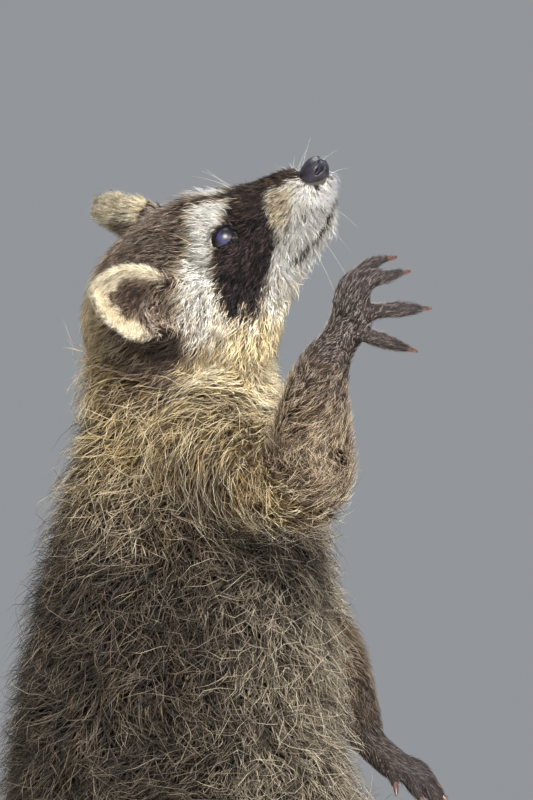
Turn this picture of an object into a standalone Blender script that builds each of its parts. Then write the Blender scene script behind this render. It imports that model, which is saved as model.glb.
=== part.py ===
"""A life-size raccoon that sits up on its haunches, head raised, right forepaw lifted.

The flesh is modelled whole, out to the tips of the coat, from lofts along the bones and
a few rounded masses. Thin cuts then part it into the parts that a person would name.
The tables are in millimetres, and the MM factor turns them to the scene's metres.
The animal faces -Y, its left side is +X, and it rests on the floor at Z = 0.
"""

import math

import bmesh
import bpy
import numpy as np
from mathutils import Matrix, Vector

MM = 0.001
SIDES = {"right": -1, "left": 1}

# How the solids are made.
CUT_GAP = 0.4  # width of the thin cuts between neighbours
SOCKET_GAP = 0.3  # clearance of an eye, nose or claw in the flesh
GRAIN = 1.7  # size of the voxels that fuse the lofts
FLESH_TRIANGLES = 4700
FINE_WEIGHT, FINE_FACTOR = 0.4, 0.02  # how far the decimation spares the fine parts
RELAX_ROUNDS = 24
RELAX_IN, RELAX_OUT = 0.56, -0.58  # one round shrinks, then swells, so that size holds
CRUMB = 150.0  # volume in cubic millimetres under which a cut-off piece is dropped

# The head, in its own axes: forward along the muzzle, to its left, and up.
HEAD_CENTRE = Vector((-12.6, 3.4, 392.7))
HEAD_YAW = -9.0  # degrees, from -Y towards its left
HEAD_PITCH = 44.5
HEAD_ROLL = 42.0
HEAD_LOFT = [  # forward, height of centre, half width, half height
    (-46, -6, 44, 43),
    (-26, -5, 51, 49),
    (-4, -5, 52, 49),
    (15, -5.5, 45, 43),
    (32, -9, 33.5, 33),
    (48, -12, 24.5, 26),
    (62, -13, 19.5, 20),
    (74, -14, 15, 14.5),
    (81, -12.5, 9.5, 9),
]
HEAD_TAPER = 0.13  # how much narrower a section is above than below
HEAD_MASSES = [  # centre and radii, in the head's axes; a left one is mirrored
    ((-6, 27, -24), (36, 29, 27)),  # cheek ruff
    ((14, 20, -24), (26, 20, 19)),  # side of the jaw
    ((30, 12, 13), (15, 10, 8)),  # brow
    ((66, 8, -17), (14, 10.5, 11)),  # whisker pad
    ((54, 0, -29), (15, 10, 7)),  # chin
    ((-18, 5, 25), (32, 28, 21)),  # crown
    ((-30, 10, 24), (24, 22, 22)),  # nape behind the ear
]
EYE_CENTRE = Vector((30.5, 20.5, 8.5))
EYE_RADIUS = 7.6
EYE_GAZE = Vector((0.72, 0.64, 0.27))
LID_RADIUS = 5.8  # the opening between the lids, at the eye's front
LID_FLARE = 0.35  # how fast that opening widens outwards
NOSE_CENTRE = Vector((80.5, 0, -10.5))
NOSE_RADII = (7.8, 8.0, 6.4)
EAR_BASE = Vector((-10, 42, 17))
EAR_AXIS = Vector((-0.04, 0.40, 0.91))
EAR_OPENING = Vector((0.50, 0.84, -0.10))
EAR_LENGTH = 45
EAR_HALF_WIDTH = 18
EAR_CUP = 12
EAR_THICKNESS = 6.5
EAR_ROOT = 10  # length of the ear that is buried in the head
EAR_LAID_BACK = {1: 30.0, -1: 0.0}  # degrees about the head's left axis, for left and right

# The body. Each row is x, y, z of the centre, then half width and half depth.
TRUNK_LOFT = [
    (0, 48, 8, 68, 54),
    (0, 39, 50, 86, 78),
    (0, 30, 100, 89, 90),
    (0, 24, 160, 84, 92),
    (0, 20, 220, 75, 86),
    (0, 18, 272, 66, 75),
    (0, 20, 312, 57, 63),
    (-3, 24, 345, 49, 54),
    (-8, 28, 380, 42, 45),
]
TRUNK_MASSES = [  # centre and radii; a left one is mirrored
    ((0, -18, 112), (68, 62, 78)),  # belly
    ((0, 68, 48), (64, 50, 48)),  # rump
    ((0, -22, 282), (40, 36, 52)),  # breast
    ((36, 8, 294), (28, 34, 40)),  # shoulder
]
TAIL_LOFT = [
    (0, 96, 46, 28, 28),
    (-8, 134, 34, 30, 30),
    (-28, 172, 31, 34, 34),
    (-68, 203, 31, 35, 35),
    (-116, 214, 29, 33, 33),
    (-158, 204, 27, 27, 27),
    (-186, 189, 24, 18, 18),
    (-200, 179, 22, 9, 9),
]
# Limbs: x, y, z and the radius of the coat.
ARMS = {
    "right": [(-38, -6, 302, 35), (-47, -37, 296, 32), (-58, -61, 290, 28.5), (-68, -80, 288, 25),
              (-78, -86, 308, 22), (-86, -92, 330, 17.5), (-90, -99, 346, 13), (-92, -107, 357, 9.5)],
    "left": [(38, -2, 300, 34), (63, 0, 278, 28), (83, -2, 248, 22.5), (92, -10, 222, 19.5),
             (94, -24, 194, 16), (91, -36, 166, 12.5), (88, -43, 152, 9.5)],
}
LEG = [(46, 34, 78, 50), (66, -8, 92, 45), (80, -46, 92, 32), (80, -52, 66, 24),
       (77, -14, 36, 19), (75, 16, 20, 15.5)]
FOOT = [(75, 22, 12, 13.5), (78, -14, 11, 14), (81, -46, 10, 16), (83, -66, 8.5, 14)]

# The right forepaw is spread as over a rim. Its axes are reach, lift and away from
# the viewer, and each digit is listed from its root to the base of its claw.
LIFTED_PAW_TURN = -65.0  # degrees about Z from +X to the reach axis
LIFTED_PALM = [(0, 0, 0, 9.5, 9), (3.5, 6, -6, 10.5, 8), (6.5, 11, -10, 10.5, 7)]
LIFTED_PALM_ACROSS = Vector((0.76, -0.6, -0.26))
LIFTED_DIGITS = [
    [(-0.5, 12, -5), (1.5, 22, -9), (5, 31, -12), (11, 36, -11)],
    [(4.5, 14, -12), (8, 30.5, -20), (16, 38.5, -19), (23, 40.3, -13)],
    [(8, 13.5, -15), (13, 27.5, -25), (20.5, 31.5, -24), (29.5, 33.5, -16)],
    [(9, 11, -14), (20, 16, -22), (30.5, 16, -20), (39.5, 16.5, -13)],
    [(7, 4.5, -12), (16, 3.3, -18), (25, 0, -16), (33, -2.4, -10)],
]
# The other paws are fans: along the paw, across towards the thumb's side, and up.
REST = Vector((-0.10, -0.82, -0.57))  # the way the left forepaw lies over its knee
FAN_DIGITS = [  # across at the root, spread in degrees, length
    (11, 30, 19), (6.5, 13, 29), (0.5, 1, 32), (-5.5, -11, 29), (-10.5, -26, 22),
]
FAN_ARCH = [(0, 0), (0.36, 2.4), (0.72, 1.4), (1, -0.3)]  # share of length, rise
FOREPAW_PALM, HINDPAW_PALM = 22, 20  # from the wrist or instep to the roots
INSTEP_HEIGHT = 6.6
DIGIT_RADII = (4.2, 3.5, 3.2, 2.7)
CLAW_LENGTH, CLAW_RADIUS, CLAW_BURIED, CLAW_HOOK = 9.5, 1.5, 2.0, 2.4

# Thin cuts: centre, direction across the cut, radius of the cut.
HEAD_CUT = ((-6, 12, 346), (0, -0.25, 0.97), 84)
NECK_CUT = ((-2, 12, 327), (0, 0, 1), 76)
TAIL_CUT = ((-7, 129, 35), (-0.2, 0.97, -0.15), 42)
LIMB_CUTS = {
    "right": [
        ((-51, -46, 294), (-0.42, -0.89, -0.17), 39),  # shoulder
        ((-69, -80, 289), (-0.53, -0.69, 0.48), 37),  # elbow
        ((-91, -103, 351.5), (-0.25, -0.55, 0.80), 15),  # wrist
    ],
    "left": [
        ((68.5, 0, 262), (0.985, 0, 0.17), 66),
        ((93, -14, 213), (0.05, -0.42, -0.91), 23),
        ((89, -41, 156), (-0.16, -0.50, -0.85), 15),
    ],
}
HIP_CUT = ((60, 0, 50), (0.90, -0.30, -0.30), 99)
HINDPAW_CUT = ((82, -44, 12), (0.04, -1, 0), 27)
EAR_CUT = (Vector((0, 5, 5.5)), Vector((0, 0.70, 0.714)), 32)  # from the ear's base, in the head's axes

CENTRES = {  # roughly the middle of each part of the flesh
    "head": (-8, -8, 396), "neck": (-4, 14, 337), "trunk": (0, 20, 150),
    "tail": (-70, 180, 30),
    "upper_arm_right": (-58, -64, 288), "forearm_right": (-80, -90, 316),
    "forepaw_right": (-92, -120, 374),
    "upper_arm_left": (80, -2, 256), "forearm_left": (93, -26, 190),
    "forepaw_left": (86, -68, 134),
    "leg_right": (-90, -20, 75), "leg_left": (90, -20, 75),
    "hindpaw_right": (-83, -70, 9), "hindpaw_left": (83, -70, 9),
}
FINISHES = {  # colour, roughness
    "coat": ((0.36, 0.31, 0.23), 0.75),
    "pale_coat": ((0.66, 0.60, 0.45), 0.75),
    "dark_coat": ((0.16, 0.12, 0.10), 0.75),
    "eye": ((0.02, 0.016, 0.02), 0.06),
    "nose_leather": ((0.035, 0.032, 0.04), 0.35),
    "claw": ((0.33, 0.17, 0.11), 0.35),
}


def unit(vector):
    """The vector at length one."""
    return Vector(vector).normalized()


def head_matrix():
    """Places the head's own axes in the scene, still in millimetres."""
    turn = Matrix.Rotation(math.radians(HEAD_YAW), 3, "Z")
    forward = turn @ Vector((0, -math.cos(math.radians(HEAD_PITCH)), math.sin(math.radians(HEAD_PITCH))))
    roll = Matrix.Rotation(math.radians(HEAD_ROLL), 3, forward)
    left = roll @ (turn @ Vector((1, 0, 0)))
    up = forward.cross(left)
    axes = Matrix((forward, left, up)).transposed().to_4x4()
    return Matrix.Translation(HEAD_CENTRE) @ axes


HEAD = head_matrix()


def in_head(point, side=1):
    """A point of the head's own axes in the scene, mirrored to its right for side -1."""
    return HEAD @ Vector((point[0], side * point[1], point[2]))


def head_way(direction, side=1):
    """A direction of the head's own axes in the scene."""
    return (HEAD.to_3x3() @ Vector((direction[0], side * direction[1], direction[2]))).normalized()


def eased(rows, steps):
    """Rows of numbers with others between them on a smooth curve through them all."""
    rows = np.array(rows, float)
    ends = np.vstack([2 * rows[0] - rows[1], rows, 2 * rows[-1] - rows[-2]])
    made = []
    for a, b, c, d in zip(ends, ends[1:], ends[2:], ends[3:]):
        for t in np.arange(steps) / steps:
            made.append(0.5 * (2 * b + (c - a) * t + (2 * a - 5 * b + 4 * c - d) * t**2
                               + (3 * b - a - 3 * c + d) * t**3))
    made.append(rows[-1])
    return np.array(made)


def loft(mesh, rows, side, taper=0.0, sides=20, steps=3, round_ends=0.6):
    """Adds a closed tube to mesh. Each row is a centre, its half width along side, and
    its half depth. The ends are rounded over round_ends of their radius."""
    rows = eased(rows, steps)
    centres, sizes = rows[:, :3], rows[:, 3:5]
    along = np.gradient(centres, axis=0)
    along /= np.linalg.norm(along, axis=1)[:, None]
    rings = []
    for angle in (60, 30) if round_ends else ():
        reach = round_ends * sizes[0].mean() * math.sin(math.radians(angle))
        rings.append((centres[0] - along[0] * reach, along[0], sizes[0] * math.cos(math.radians(angle))))
    rings += list(zip(centres, along, sizes))
    for angle in (30, 60) if round_ends else ():
        reach = round_ends * sizes[-1].mean() * math.sin(math.radians(angle))
        rings.append((centres[-1] + along[-1] * reach, along[-1], sizes[-1] * math.cos(math.radians(angle))))
    loops = []
    for centre, way, (half_width, half_depth) in rings:
        across = Vector(side) - Vector(way) * Vector(side).dot(Vector(way))
        across.normalize()
        over = Vector(way).cross(across)
        loop = []
        for i in range(sides):
            turn = 2 * math.pi * i / sides
            rise = math.sin(turn)
            wide = half_width * math.cos(turn) * (1 - taper * rise)
            loop.append(mesh.verts.new(Vector(centre) + across * wide + over * (half_depth * rise)))
        loops.append(loop)
    for first, second in zip(loops, loops[1:]):
        for i in range(sides):
            j = (i + 1) % sides
            mesh.faces.new((first[i], first[j], second[j], second[i]))
    mesh.faces.new(loops[0][::-1])
    mesh.faces.new(loops[-1])


def mass(mesh, centre, radii, axes=None, fineness=3):
    """Adds an ellipsoid to mesh."""
    place = Matrix.Translation(centre) @ (axes or Matrix.Identity(4)) @ Matrix.Diagonal((*radii, 1))
    bmesh.ops.create_icosphere(mesh, subdivisions=fineness, radius=1, matrix=place)


def laid_back(way, side):
    """A direction in the head's axes, turned back as far as the ear on that side is."""
    return Matrix.Rotation(math.radians(-EAR_LAID_BACK[side]), 3, "Y") @ way


def ear_frame(side):
    """Base, axis, direction of the opening, and direction across the ear."""
    axis = head_way(laid_back(EAR_AXIS, side), side)
    opening = head_way(laid_back(EAR_OPENING, side), side)
    opening = (opening - axis * opening.dot(axis)).normalized()
    return in_head(EAR_BASE, side), axis, opening, axis.cross(opening)


def ear(mesh, side):
    """Adds a cupped ear: a leaf with a rounded tip whose rims come forward."""
    base, axis, opening, across = ear_frame(side)
    rows, columns = 16, 10
    leaves = []
    for face in (-0.5, 0.5):
        leaf = []
        for i in range(rows + 1):
            rise = i / rows
            height = -EAR_ROOT + rise * (EAR_LENGTH + EAR_ROOT)
            swell = 0.52 + 0.48 * math.sin(math.pi / 2 * min(1, rise / 0.55))
            tip = math.sqrt(max(0.03, 1 - max(0, (rise - 0.45) / 0.55) ** 2))
            half_width = EAR_HALF_WIDTH * swell * tip
            for j in range(columns + 1):
                share = 2 * j / columns - 1
                cup = EAR_CUP * (share * share - 0.5) * (1 - 0.45 * rise)
                bulk = EAR_THICKNESS * face * (1 + 0.5 * (1 - rise))
                lean = opening * (cup + bulk + 4 * rise * rise)
                leaf.append(mesh.verts.new(base + axis * height + across * (share * half_width) + lean))
        leaves.append(leaf)
    wide = columns + 1
    for leaf, flip in zip(leaves, (False, True)):
        for i in range(rows):
            for j in range(columns):
                a = i * wide + j
                corners = [leaf[a], leaf[a + 1], leaf[a + wide + 1], leaf[a + wide]]
                mesh.faces.new(corners[::-1] if flip else corners)
    rim = [i * wide for i in range(rows + 1)] + [rows * wide + j for j in range(1, wide)]
    rim += [i * wide + columns for i in range(rows - 1, -1, -1)] + list(range(columns - 1, 0, -1))
    for a, b in zip(rim, rim[1:] + rim[:1]):
        mesh.faces.new((leaves[0][a], leaves[0][b], leaves[1][b], leaves[1][a]))


def mirrored(rows, sign):
    """Rows of numbers whose first is x, moved to the right side for sign -1."""
    return [(sign * row[0], *row[1:]) for row in rows]


def limb(mesh, rows, side):
    """Adds a round limb."""
    loft(mesh, [(x, y, z, radius, radius) for x, y, z, radius in rows], side, steps=4)


def lifted_paw():
    """Palm rows, side of the palm, digits and the palm's down side of the right forepaw."""
    wrist = Vector(ARMS["right"][-1][:3])
    turn = Matrix.Rotation(math.radians(LIFTED_PAW_TURN), 3, "Z")
    axes = Matrix((turn @ Vector((1, 0, 0)), Vector((0, 0, 1)), turn @ Vector((0, 1, 0)))).transposed()
    palm = [(*(wrist + axes @ Vector(row[:3])), *row[3:]) for row in LIFTED_PALM]
    digits = [[wrist + axes @ Vector(joint) for joint in digit] for digit in LIFTED_DIGITS]
    return palm, axes @ LIFTED_PALM_ACROSS, digits, axes @ Vector((0, 0, 1))


def fan_paw(start, along, across, reach, half_width, half_depth):
    """The same for a paw whose digits fan out evenly from the end of the palm."""
    along, across = unit(along), unit(across)
    up = across.cross(along)
    up = up if up.z > 0 else -up
    palm = [(*(start + along * (share * reach)), half_width * wide, half_depth)
            for share, wide in ((0, 0.8), (0.5, 1), (1, 1))]
    digits = []
    for offset, spread, length in FAN_DIGITS:
        turn = math.radians(spread)
        way = along * math.cos(turn) + across * math.sin(turn)
        root = start + along * (reach - abs(offset) * 0.45) + across * offset
        digits.append([root + way * (share * length) + up * rise for share, rise in FAN_ARCH])
    return palm, across, digits, -up


def paws():
    """Each paw by name: palm rows, side, digits, and the way its claws hook."""
    made = {"forepaw_right": lifted_paw()}
    wrist = Vector(ARMS["left"][-1][:3])
    made["forepaw_left"] = fan_paw(wrist, REST, (-1, 0.06, 0), FOREPAW_PALM, 12.5, 8)
    for name, sign in SIDES.items():
        instep = Vector((sign * FOOT[-1][0], FOOT[-1][1] + 8, INSTEP_HEIGHT))
        along, across = (sign * 0.10, -1, 0), (-sign, -0.10, 0)
        made["hindpaw_" + name] = fan_paw(instep, along, across, HINDPAW_PALM, 14, 7)
    return made


def claw_rows(digit, hook, grow=0.0):
    """Rows of a hooked claw at the end of a digit, grown all round by grow."""
    base = digit[-1]
    way = (digit[-1] - digit[-2]).normalized()
    rows = []
    for share, thick in ((0, 1.0), (0.55, 0.8), (1, 0.16)):
        reach = share * (CLAW_LENGTH + grow) + DIGIT_RADII[-1] * 0.55 - CLAW_BURIED
        centre = base + way * reach + hook * (CLAW_HOOK * share * share - 0.4)
        radius = CLAW_RADIUS * thick + grow
        rows.append((*centre, radius, radius))
    return rows


def flesh():
    """The whole body as one fused mesh in millimetres, out to the tips of its coat."""
    mesh = bmesh.new()
    loft(mesh, TRUNK_LOFT, (1, 0, 0), sides=28)
    loft(mesh, TAIL_LOFT, (0, 0, 1), sides=20)
    head = [(*in_head((f, 0, c)), w, h) for f, c, w, h in HEAD_LOFT]
    loft(mesh, head, head_way((0, 1, 0)), taper=HEAD_TAPER, sides=28)
    axes = HEAD.to_3x3().to_4x4()
    for sign in SIDES.values():
        for centre, radii in HEAD_MASSES:
            mass(mesh, in_head(centre, sign), radii, axes)
        for centre, radii in TRUNK_MASSES:
            mass(mesh, (sign * centre[0], *centre[1:]), radii)
        ear(mesh, sign)
        limb(mesh, mirrored(LEG, sign), (1, 0, 0))
        limb(mesh, mirrored(FOOT, sign), (1, 0, 0))
    for name, rows in ARMS.items():
        limb(mesh, rows, (1, 0, 0))
    for palm, side, digits, _ in paws().values():
        loft(mesh, palm, side, sides=16, steps=2)
        for digit in digits:
            rows = [(*joint, radius, radius) for joint, radius in zip(digit, DIGIT_RADII)]
            loft(mesh, rows, side, sides=12, steps=3, round_ends=0.9)
    bmesh.ops.recalc_face_normals(mesh, faces=mesh.faces)
    return mesh


def new_object(name, mesh, finish):
    """A named object of the scene, from a bmesh in millimetres that is then freed."""
    data = bpy.data.meshes.new(name)
    mesh.to_mesh(data)
    mesh.free()
    data.materials.append(material(finish))
    made = bpy.data.objects.new(name, data)
    bpy.context.scene.collection.objects.link(made)
    return made


def material(name):
    """The Principled material of that finish, made once."""
    found = bpy.data.materials.get(name)
    if found:
        return found
    colour, roughness = FINISHES[name]
    found = bpy.data.materials.new(name)
    found.use_nodes = True
    shader = found.node_tree.nodes["Principled BSDF"]
    shader.inputs["Base Color"].default_value = (*colour, 1)
    shader.inputs["Roughness"].default_value = roughness
    shader.inputs["Metallic"].default_value = 0.0
    return found


def settled(made, modifier, **settings):
    """Gives the object one modifier with those settings and applies it."""
    added = made.modifiers.new(modifier, modifier)
    for key, value in settings.items():
        setattr(added, key, value)
    graph = bpy.context.evaluated_depsgraph_get()
    graph.update()
    data = bpy.data.meshes.new_from_object(made.evaluated_get(graph))
    made.modifiers.clear()
    made.data = data
    return made


def relax(data, rounds):
    """Evens out the steps and creases of a fused mesh without shrinking it."""
    points = np.empty(len(data.vertices) * 3)
    data.vertices.foreach_get("co", points)
    points = points.reshape(-1, 3)
    ends = np.empty(len(data.edges) * 2, np.int64)
    data.edges.foreach_get("vertices", ends)
    first, second = ends.reshape(-1, 2).T
    here, there = np.concatenate([first, second]), np.concatenate([second, first])
    share = 1 / np.bincount(here, minlength=len(points))
    for factor in (RELAX_IN, RELAX_OUT) * rounds:
        mean = np.stack([np.bincount(here, points[there, k], len(points)) * share for k in range(3)], 1)
        points += factor * (mean - points)
    data.vertices.foreach_set("co", points.ravel())
    data.update()


def thin_out(body):
    """Leaves few triangles on the plain parts, and more on the face, ears and paws."""
    plain = body.vertex_groups.new(name="plain")
    fine = [(HEAD_CENTRE + head_way((1, 0, 0)) * 40, 62)]
    fine += [(Vector(digits[2][1]), 44) for _, _, digits, _ in paws().values()]
    for vert in body.data.vertices:
        detail = any((vert.co - centre).length < radius for centre, radius in fine)
        plain.add([vert.index], FINE_WEIGHT if detail else 1.0, "REPLACE")
    share = FLESH_TRIANGLES / (2 * len(body.data.polygons))
    settled(body, "DECIMATE", ratio=share, vertex_group="plain", vertex_group_factor=FINE_FACTOR)
    body.vertex_groups.clear()


def keep_biggest(made):
    """Drops the specks that a remesh or a decimation can leave beside the body."""
    parts = sorted(islands(made.data), key=lambda part: len(part.verts))
    parts.pop().to_mesh(made.data)


def disc(mesh, centre, normal, radius):
    """Adds a thin disc, which parts what it crosses."""
    place = Matrix.Translation(centre) @ Vector(normal).to_track_quat("Z", "Y").to_matrix().to_4x4()
    bmesh.ops.create_cone(mesh, cap_ends=True, segments=24, radius1=radius, radius2=radius,
                          depth=CUT_GAP, matrix=place)


def eye_socket(mesh, side):
    """Adds the hollow of an eye, which opens outwards between the lids."""
    centre, gaze = in_head(EYE_CENTRE, side), head_way(EYE_GAZE, side)
    radius = EYE_RADIUS + SOCKET_GAP
    front = math.sqrt(radius**2 - LID_RADIUS**2)
    rows = []
    for i in range(7):
        at = -0.97 * radius + i / 6 * (front + 0.97 * radius)
        rows.append((*(centre + gaze * at), *[math.sqrt(radius**2 - at**2)] * 2))
    for out in (3, 12):
        rows.append((*(centre + gaze * (front + out)), *[LID_RADIUS + LID_FLARE * out] * 2))
    loft(mesh, rows, (0.3, 0.2, 0.9), sides=16, steps=1, round_ends=0)


def cuts():
    """Every cut as one object: the discs, and the hollows of eyes, nose and claws."""
    mesh = bmesh.new()
    for cut in (HEAD_CUT, NECK_CUT, TAIL_CUT, *LIMB_CUTS["right"], *LIMB_CUTS["left"]):
        disc(mesh, *cut)
    for sign in SIDES.values():
        for (x, y, z), (across, forward, up), radius in (HIP_CUT, HINDPAW_CUT):
            disc(mesh, (sign * x, y, z), (sign * across, forward, up), radius)
        place = EAR_BASE + laid_back(EAR_CUT[0], sign)
        disc(mesh, in_head(place, sign), head_way(laid_back(EAR_CUT[1], sign), sign), EAR_CUT[2])
        eye_socket(mesh, sign)
    mass(mesh, in_head(NOSE_CENTRE), [r + SOCKET_GAP for r in NOSE_RADII], HEAD.to_3x3().to_4x4(), 2)
    for _, side, digits, hook in paws().values():
        for digit in digits:
            loft(mesh, claw_rows(digit, hook, SOCKET_GAP), side, sides=5, steps=1, round_ends=0)
    bmesh.ops.recalc_face_normals(mesh, faces=mesh.faces)
    cutter = new_object("cuts", mesh, "coat")
    cutter.hide_render = True
    cutter.display_type = "WIRE"
    return cutter


def stand_on_floor(data):
    """Cuts off what is under the floor, which leaves small flats at Z = 0."""
    mesh = bmesh.new()
    mesh.from_mesh(data)
    everything = mesh.verts[:] + mesh.edges[:] + mesh.faces[:]
    bmesh.ops.bisect_plane(mesh, geom=everything, plane_co=(0, 0, 0), plane_no=(0, 0, -1),
                           clear_outer=True, dist=1e-4)
    rim = [edge for edge in mesh.edges if edge.is_boundary]
    bmesh.ops.contextual_create(mesh, geom=rim)
    bmesh.ops.holes_fill(mesh, edges=[edge for edge in mesh.edges if edge.is_boundary])
    bmesh.ops.triangulate(mesh, faces=mesh.faces)
    mesh.to_mesh(data)
    mesh.free()


def islands(data):
    """The separate bodies of a mesh, each as its own bmesh."""
    whole = bmesh.new()
    whole.from_mesh(data)
    whole.verts.ensure_lookup_table()
    whole.verts.index_update()
    group = [-1] * len(whole.verts)
    count = 0
    for seed in whole.verts:
        if group[seed.index] >= 0:
            continue
        stack = [seed]
        group[seed.index] = count
        while stack:
            for edge in stack.pop().link_edges:
                for vert in edge.verts:
                    if group[vert.index] < 0:
                        group[vert.index] = count
                        stack.append(vert)
        count += 1
    for number in range(count):
        part = whole.copy()
        part.verts.ensure_lookup_table()
        others = [part.verts[i] for i, g in enumerate(group) if g != number]
        bmesh.ops.delete(part, geom=others, context="VERTS")
        yield part
    whole.free()


def part_names():
    """The rough middle of every part of the flesh, ears included."""
    named = {name: Vector(centre) for name, centre in CENTRES.items()}
    for name, sign in SIDES.items():
        base, axis, _, _ = ear_frame(sign)
        named["ear_" + name] = base + axis * (EAR_LENGTH * 0.6)
    return named


def finish_of(name):
    """The finish that shows most on a part of the flesh."""
    if name.startswith("ear"):
        return "pale_coat"
    return "dark_coat" if "paw" in name else "coat"


def name_parts(body):
    """Makes an object of each body that the cuts left, named for the nearest centre."""
    named = part_names()
    for part in islands(body.data):
        if part.calc_volume() < CRUMB:
            part.free()
            continue
        middle = sum((v.co for v in part.verts), Vector()) / len(part.verts)
        nearest = min(named, key=lambda name: (named[name] - middle).length)
        if nearest in bpy.data.objects:
            raise RuntimeError(f"two bodies are nearest to {nearest}: a cut is wrong")
        new_object(nearest, part, finish_of(nearest))
    missing = [name for name in named if name not in bpy.data.objects]
    if missing:
        raise RuntimeError(f"the cuts left no {missing}")
    bpy.data.objects.remove(body)


def small_parts():
    """The eyes, the nose leather and the claws."""
    axes = HEAD.to_3x3().to_4x4()
    for name, sign in SIDES.items():
        mesh = bmesh.new()
        mass(mesh, in_head(EYE_CENTRE, sign), [EYE_RADIUS] * 3, axes, 2)
        new_object("eye_" + name, mesh, "eye")
    mesh = bmesh.new()
    mass(mesh, in_head(NOSE_CENTRE), NOSE_RADII, axes, 2)
    new_object("nose", mesh, "nose_leather")
    for name, (_, side, digits, hook) in paws().items():
        for number, digit in enumerate(digits, 1):
            mesh = bmesh.new()
            loft(mesh, claw_rows(digit, hook), side, sides=5, steps=1, round_ends=0)
            bmesh.ops.recalc_face_normals(mesh, faces=mesh.faces)
            new_object(f"claw_{name}_{number}", mesh, "claw")


def to_metres_over_origin():
    """Scales all to metres and centres the part's box over the origin."""
    parts = [o for o in bpy.data.objects if o.type == "MESH" and not o.hide_render]
    points = [v.co for o in parts for v in o.data.vertices]
    middle = [(min(p[k] for p in points) + max(p[k] for p in points)) / 2 for k in (0, 1)]
    shift = Matrix.Translation((-middle[0], -middle[1], 0))
    for made in parts:
        made.data.transform(Matrix.Scale(MM, 4) @ shift)
        made.data.shade_smooth()


def main():
    for old in list(bpy.data.objects):
        bpy.data.objects.remove(old)
    body = new_object("body", flesh(), "coat")
    settled(body, "REMESH", mode="VOXEL", voxel_size=GRAIN)
    relax(body.data, RELAX_ROUNDS)
    thin_out(body)
    keep_biggest(body)
    stand_on_floor(body.data)
    cutter = cuts()
    settled(body, "BOOLEAN", operation="DIFFERENCE", object=cutter, use_self=True)
    bpy.data.objects.remove(cutter)
    name_parts(body)
    small_parts()
    to_metres_over_origin()


main()
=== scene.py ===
"""A grown raccoon sitting up with one forepaw raised, as a life-size museum model.

One hide covers every part of the flesh, and the coat stands on it as joined meshes of fine locks.
Eyes, nose pad, whiskers and claws are pieces of their own.
"""
from __future__ import annotations

import heapq
import logging
import math
from dataclasses import dataclass, field
from enum import Enum

import bmesh
import bpy
import numpy as np
from mathutils import Matrix, Vector
from mathutils.bvhtree import BVHTree
from mathutils.kdtree import KDTree


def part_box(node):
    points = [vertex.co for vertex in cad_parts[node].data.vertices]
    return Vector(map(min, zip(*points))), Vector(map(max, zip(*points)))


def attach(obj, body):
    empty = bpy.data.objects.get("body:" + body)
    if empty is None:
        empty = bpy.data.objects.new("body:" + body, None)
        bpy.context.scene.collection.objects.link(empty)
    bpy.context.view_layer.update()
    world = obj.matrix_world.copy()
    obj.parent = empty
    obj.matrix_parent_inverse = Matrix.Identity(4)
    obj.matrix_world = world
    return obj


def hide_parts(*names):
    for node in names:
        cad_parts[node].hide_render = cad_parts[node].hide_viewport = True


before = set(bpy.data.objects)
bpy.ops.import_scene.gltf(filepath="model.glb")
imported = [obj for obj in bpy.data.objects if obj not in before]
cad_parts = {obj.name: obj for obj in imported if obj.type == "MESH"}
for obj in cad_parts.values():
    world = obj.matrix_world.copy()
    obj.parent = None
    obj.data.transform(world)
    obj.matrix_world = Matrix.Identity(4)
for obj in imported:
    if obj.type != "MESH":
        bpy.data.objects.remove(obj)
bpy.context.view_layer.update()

MM = 0.001
SIDES = ("left", "right")
log = logging.getLogger("raccoon")

FLESH = ["head", "neck", "trunk", "tail"]
FLESH += [f"{part}_{side}" for part in ("ear", "upper_arm", "forearm", "forepaw", "leg", "hindpaw")
          for side in SIDES]
CLAWS = [f"claw_{paw}_{side}_{digit}" for paw in ("forepaw", "hindpaw") for side in SIDES
         for digit in range(1, 6)]


# ---------------------------------------------------------------- small tools

def hex_linear(code: str) -> np.ndarray:
    """Turn a colour from sRGB hex to linear RGB.

    Args:
        code: the colour, such as "#6A5E4E".

    Returns:
        Three linear channels.
    """
    channels = np.array([int(code[i:i + 2], 16) / 255 for i in (1, 3, 5)])
    return np.where(channels <= 0.04045, channels / 12.92, ((channels + 0.055) / 1.055) ** 2.4)


def rgba(code: str) -> tuple[float, float, float, float]:
    """Return a hex colour as linear RGBA for a shader's socket."""
    return (*hex_linear(code), 1.0)


def add_node(tree: bpy.types.NodeTree, kind: str, settings: dict | None = None,
             sockets: dict | None = None, links: dict | None = None) -> bpy.types.Node:
    """Add a node to a material's tree.

    Args:
        tree: the tree that gets the node.
        kind: the node's type name.
        settings: attributes of the node by name.
        sockets: values of input sockets by name or number.
        links: output sockets to link, by the name or number of the input they go to.

    Returns:
        The new node.
    """
    node = tree.nodes.new(kind)
    for name, value in (settings or {}).items():
        setattr(node, name, value)
    for name, value in (sockets or {}).items():
        node.inputs[name].default_value = value
    for name, output in (links or {}).items():
        tree.links.new(output, node.inputs[name])
    return node


def unit(vectors: np.ndarray) -> np.ndarray:
    """Scale vectors, along the last axis, to length one."""
    return vectors / np.maximum(np.linalg.norm(vectors, axis=-1, keepdims=True), 1e-12)


def ramp(values: np.ndarray, low: float, high: float) -> np.ndarray:
    """Rise smoothly from 0 at low to 1 at high, or fall where low is above high."""
    share = np.clip((values - low) / (high - low), 0, 1)
    return share * share * (3 - 2 * share)


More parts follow.
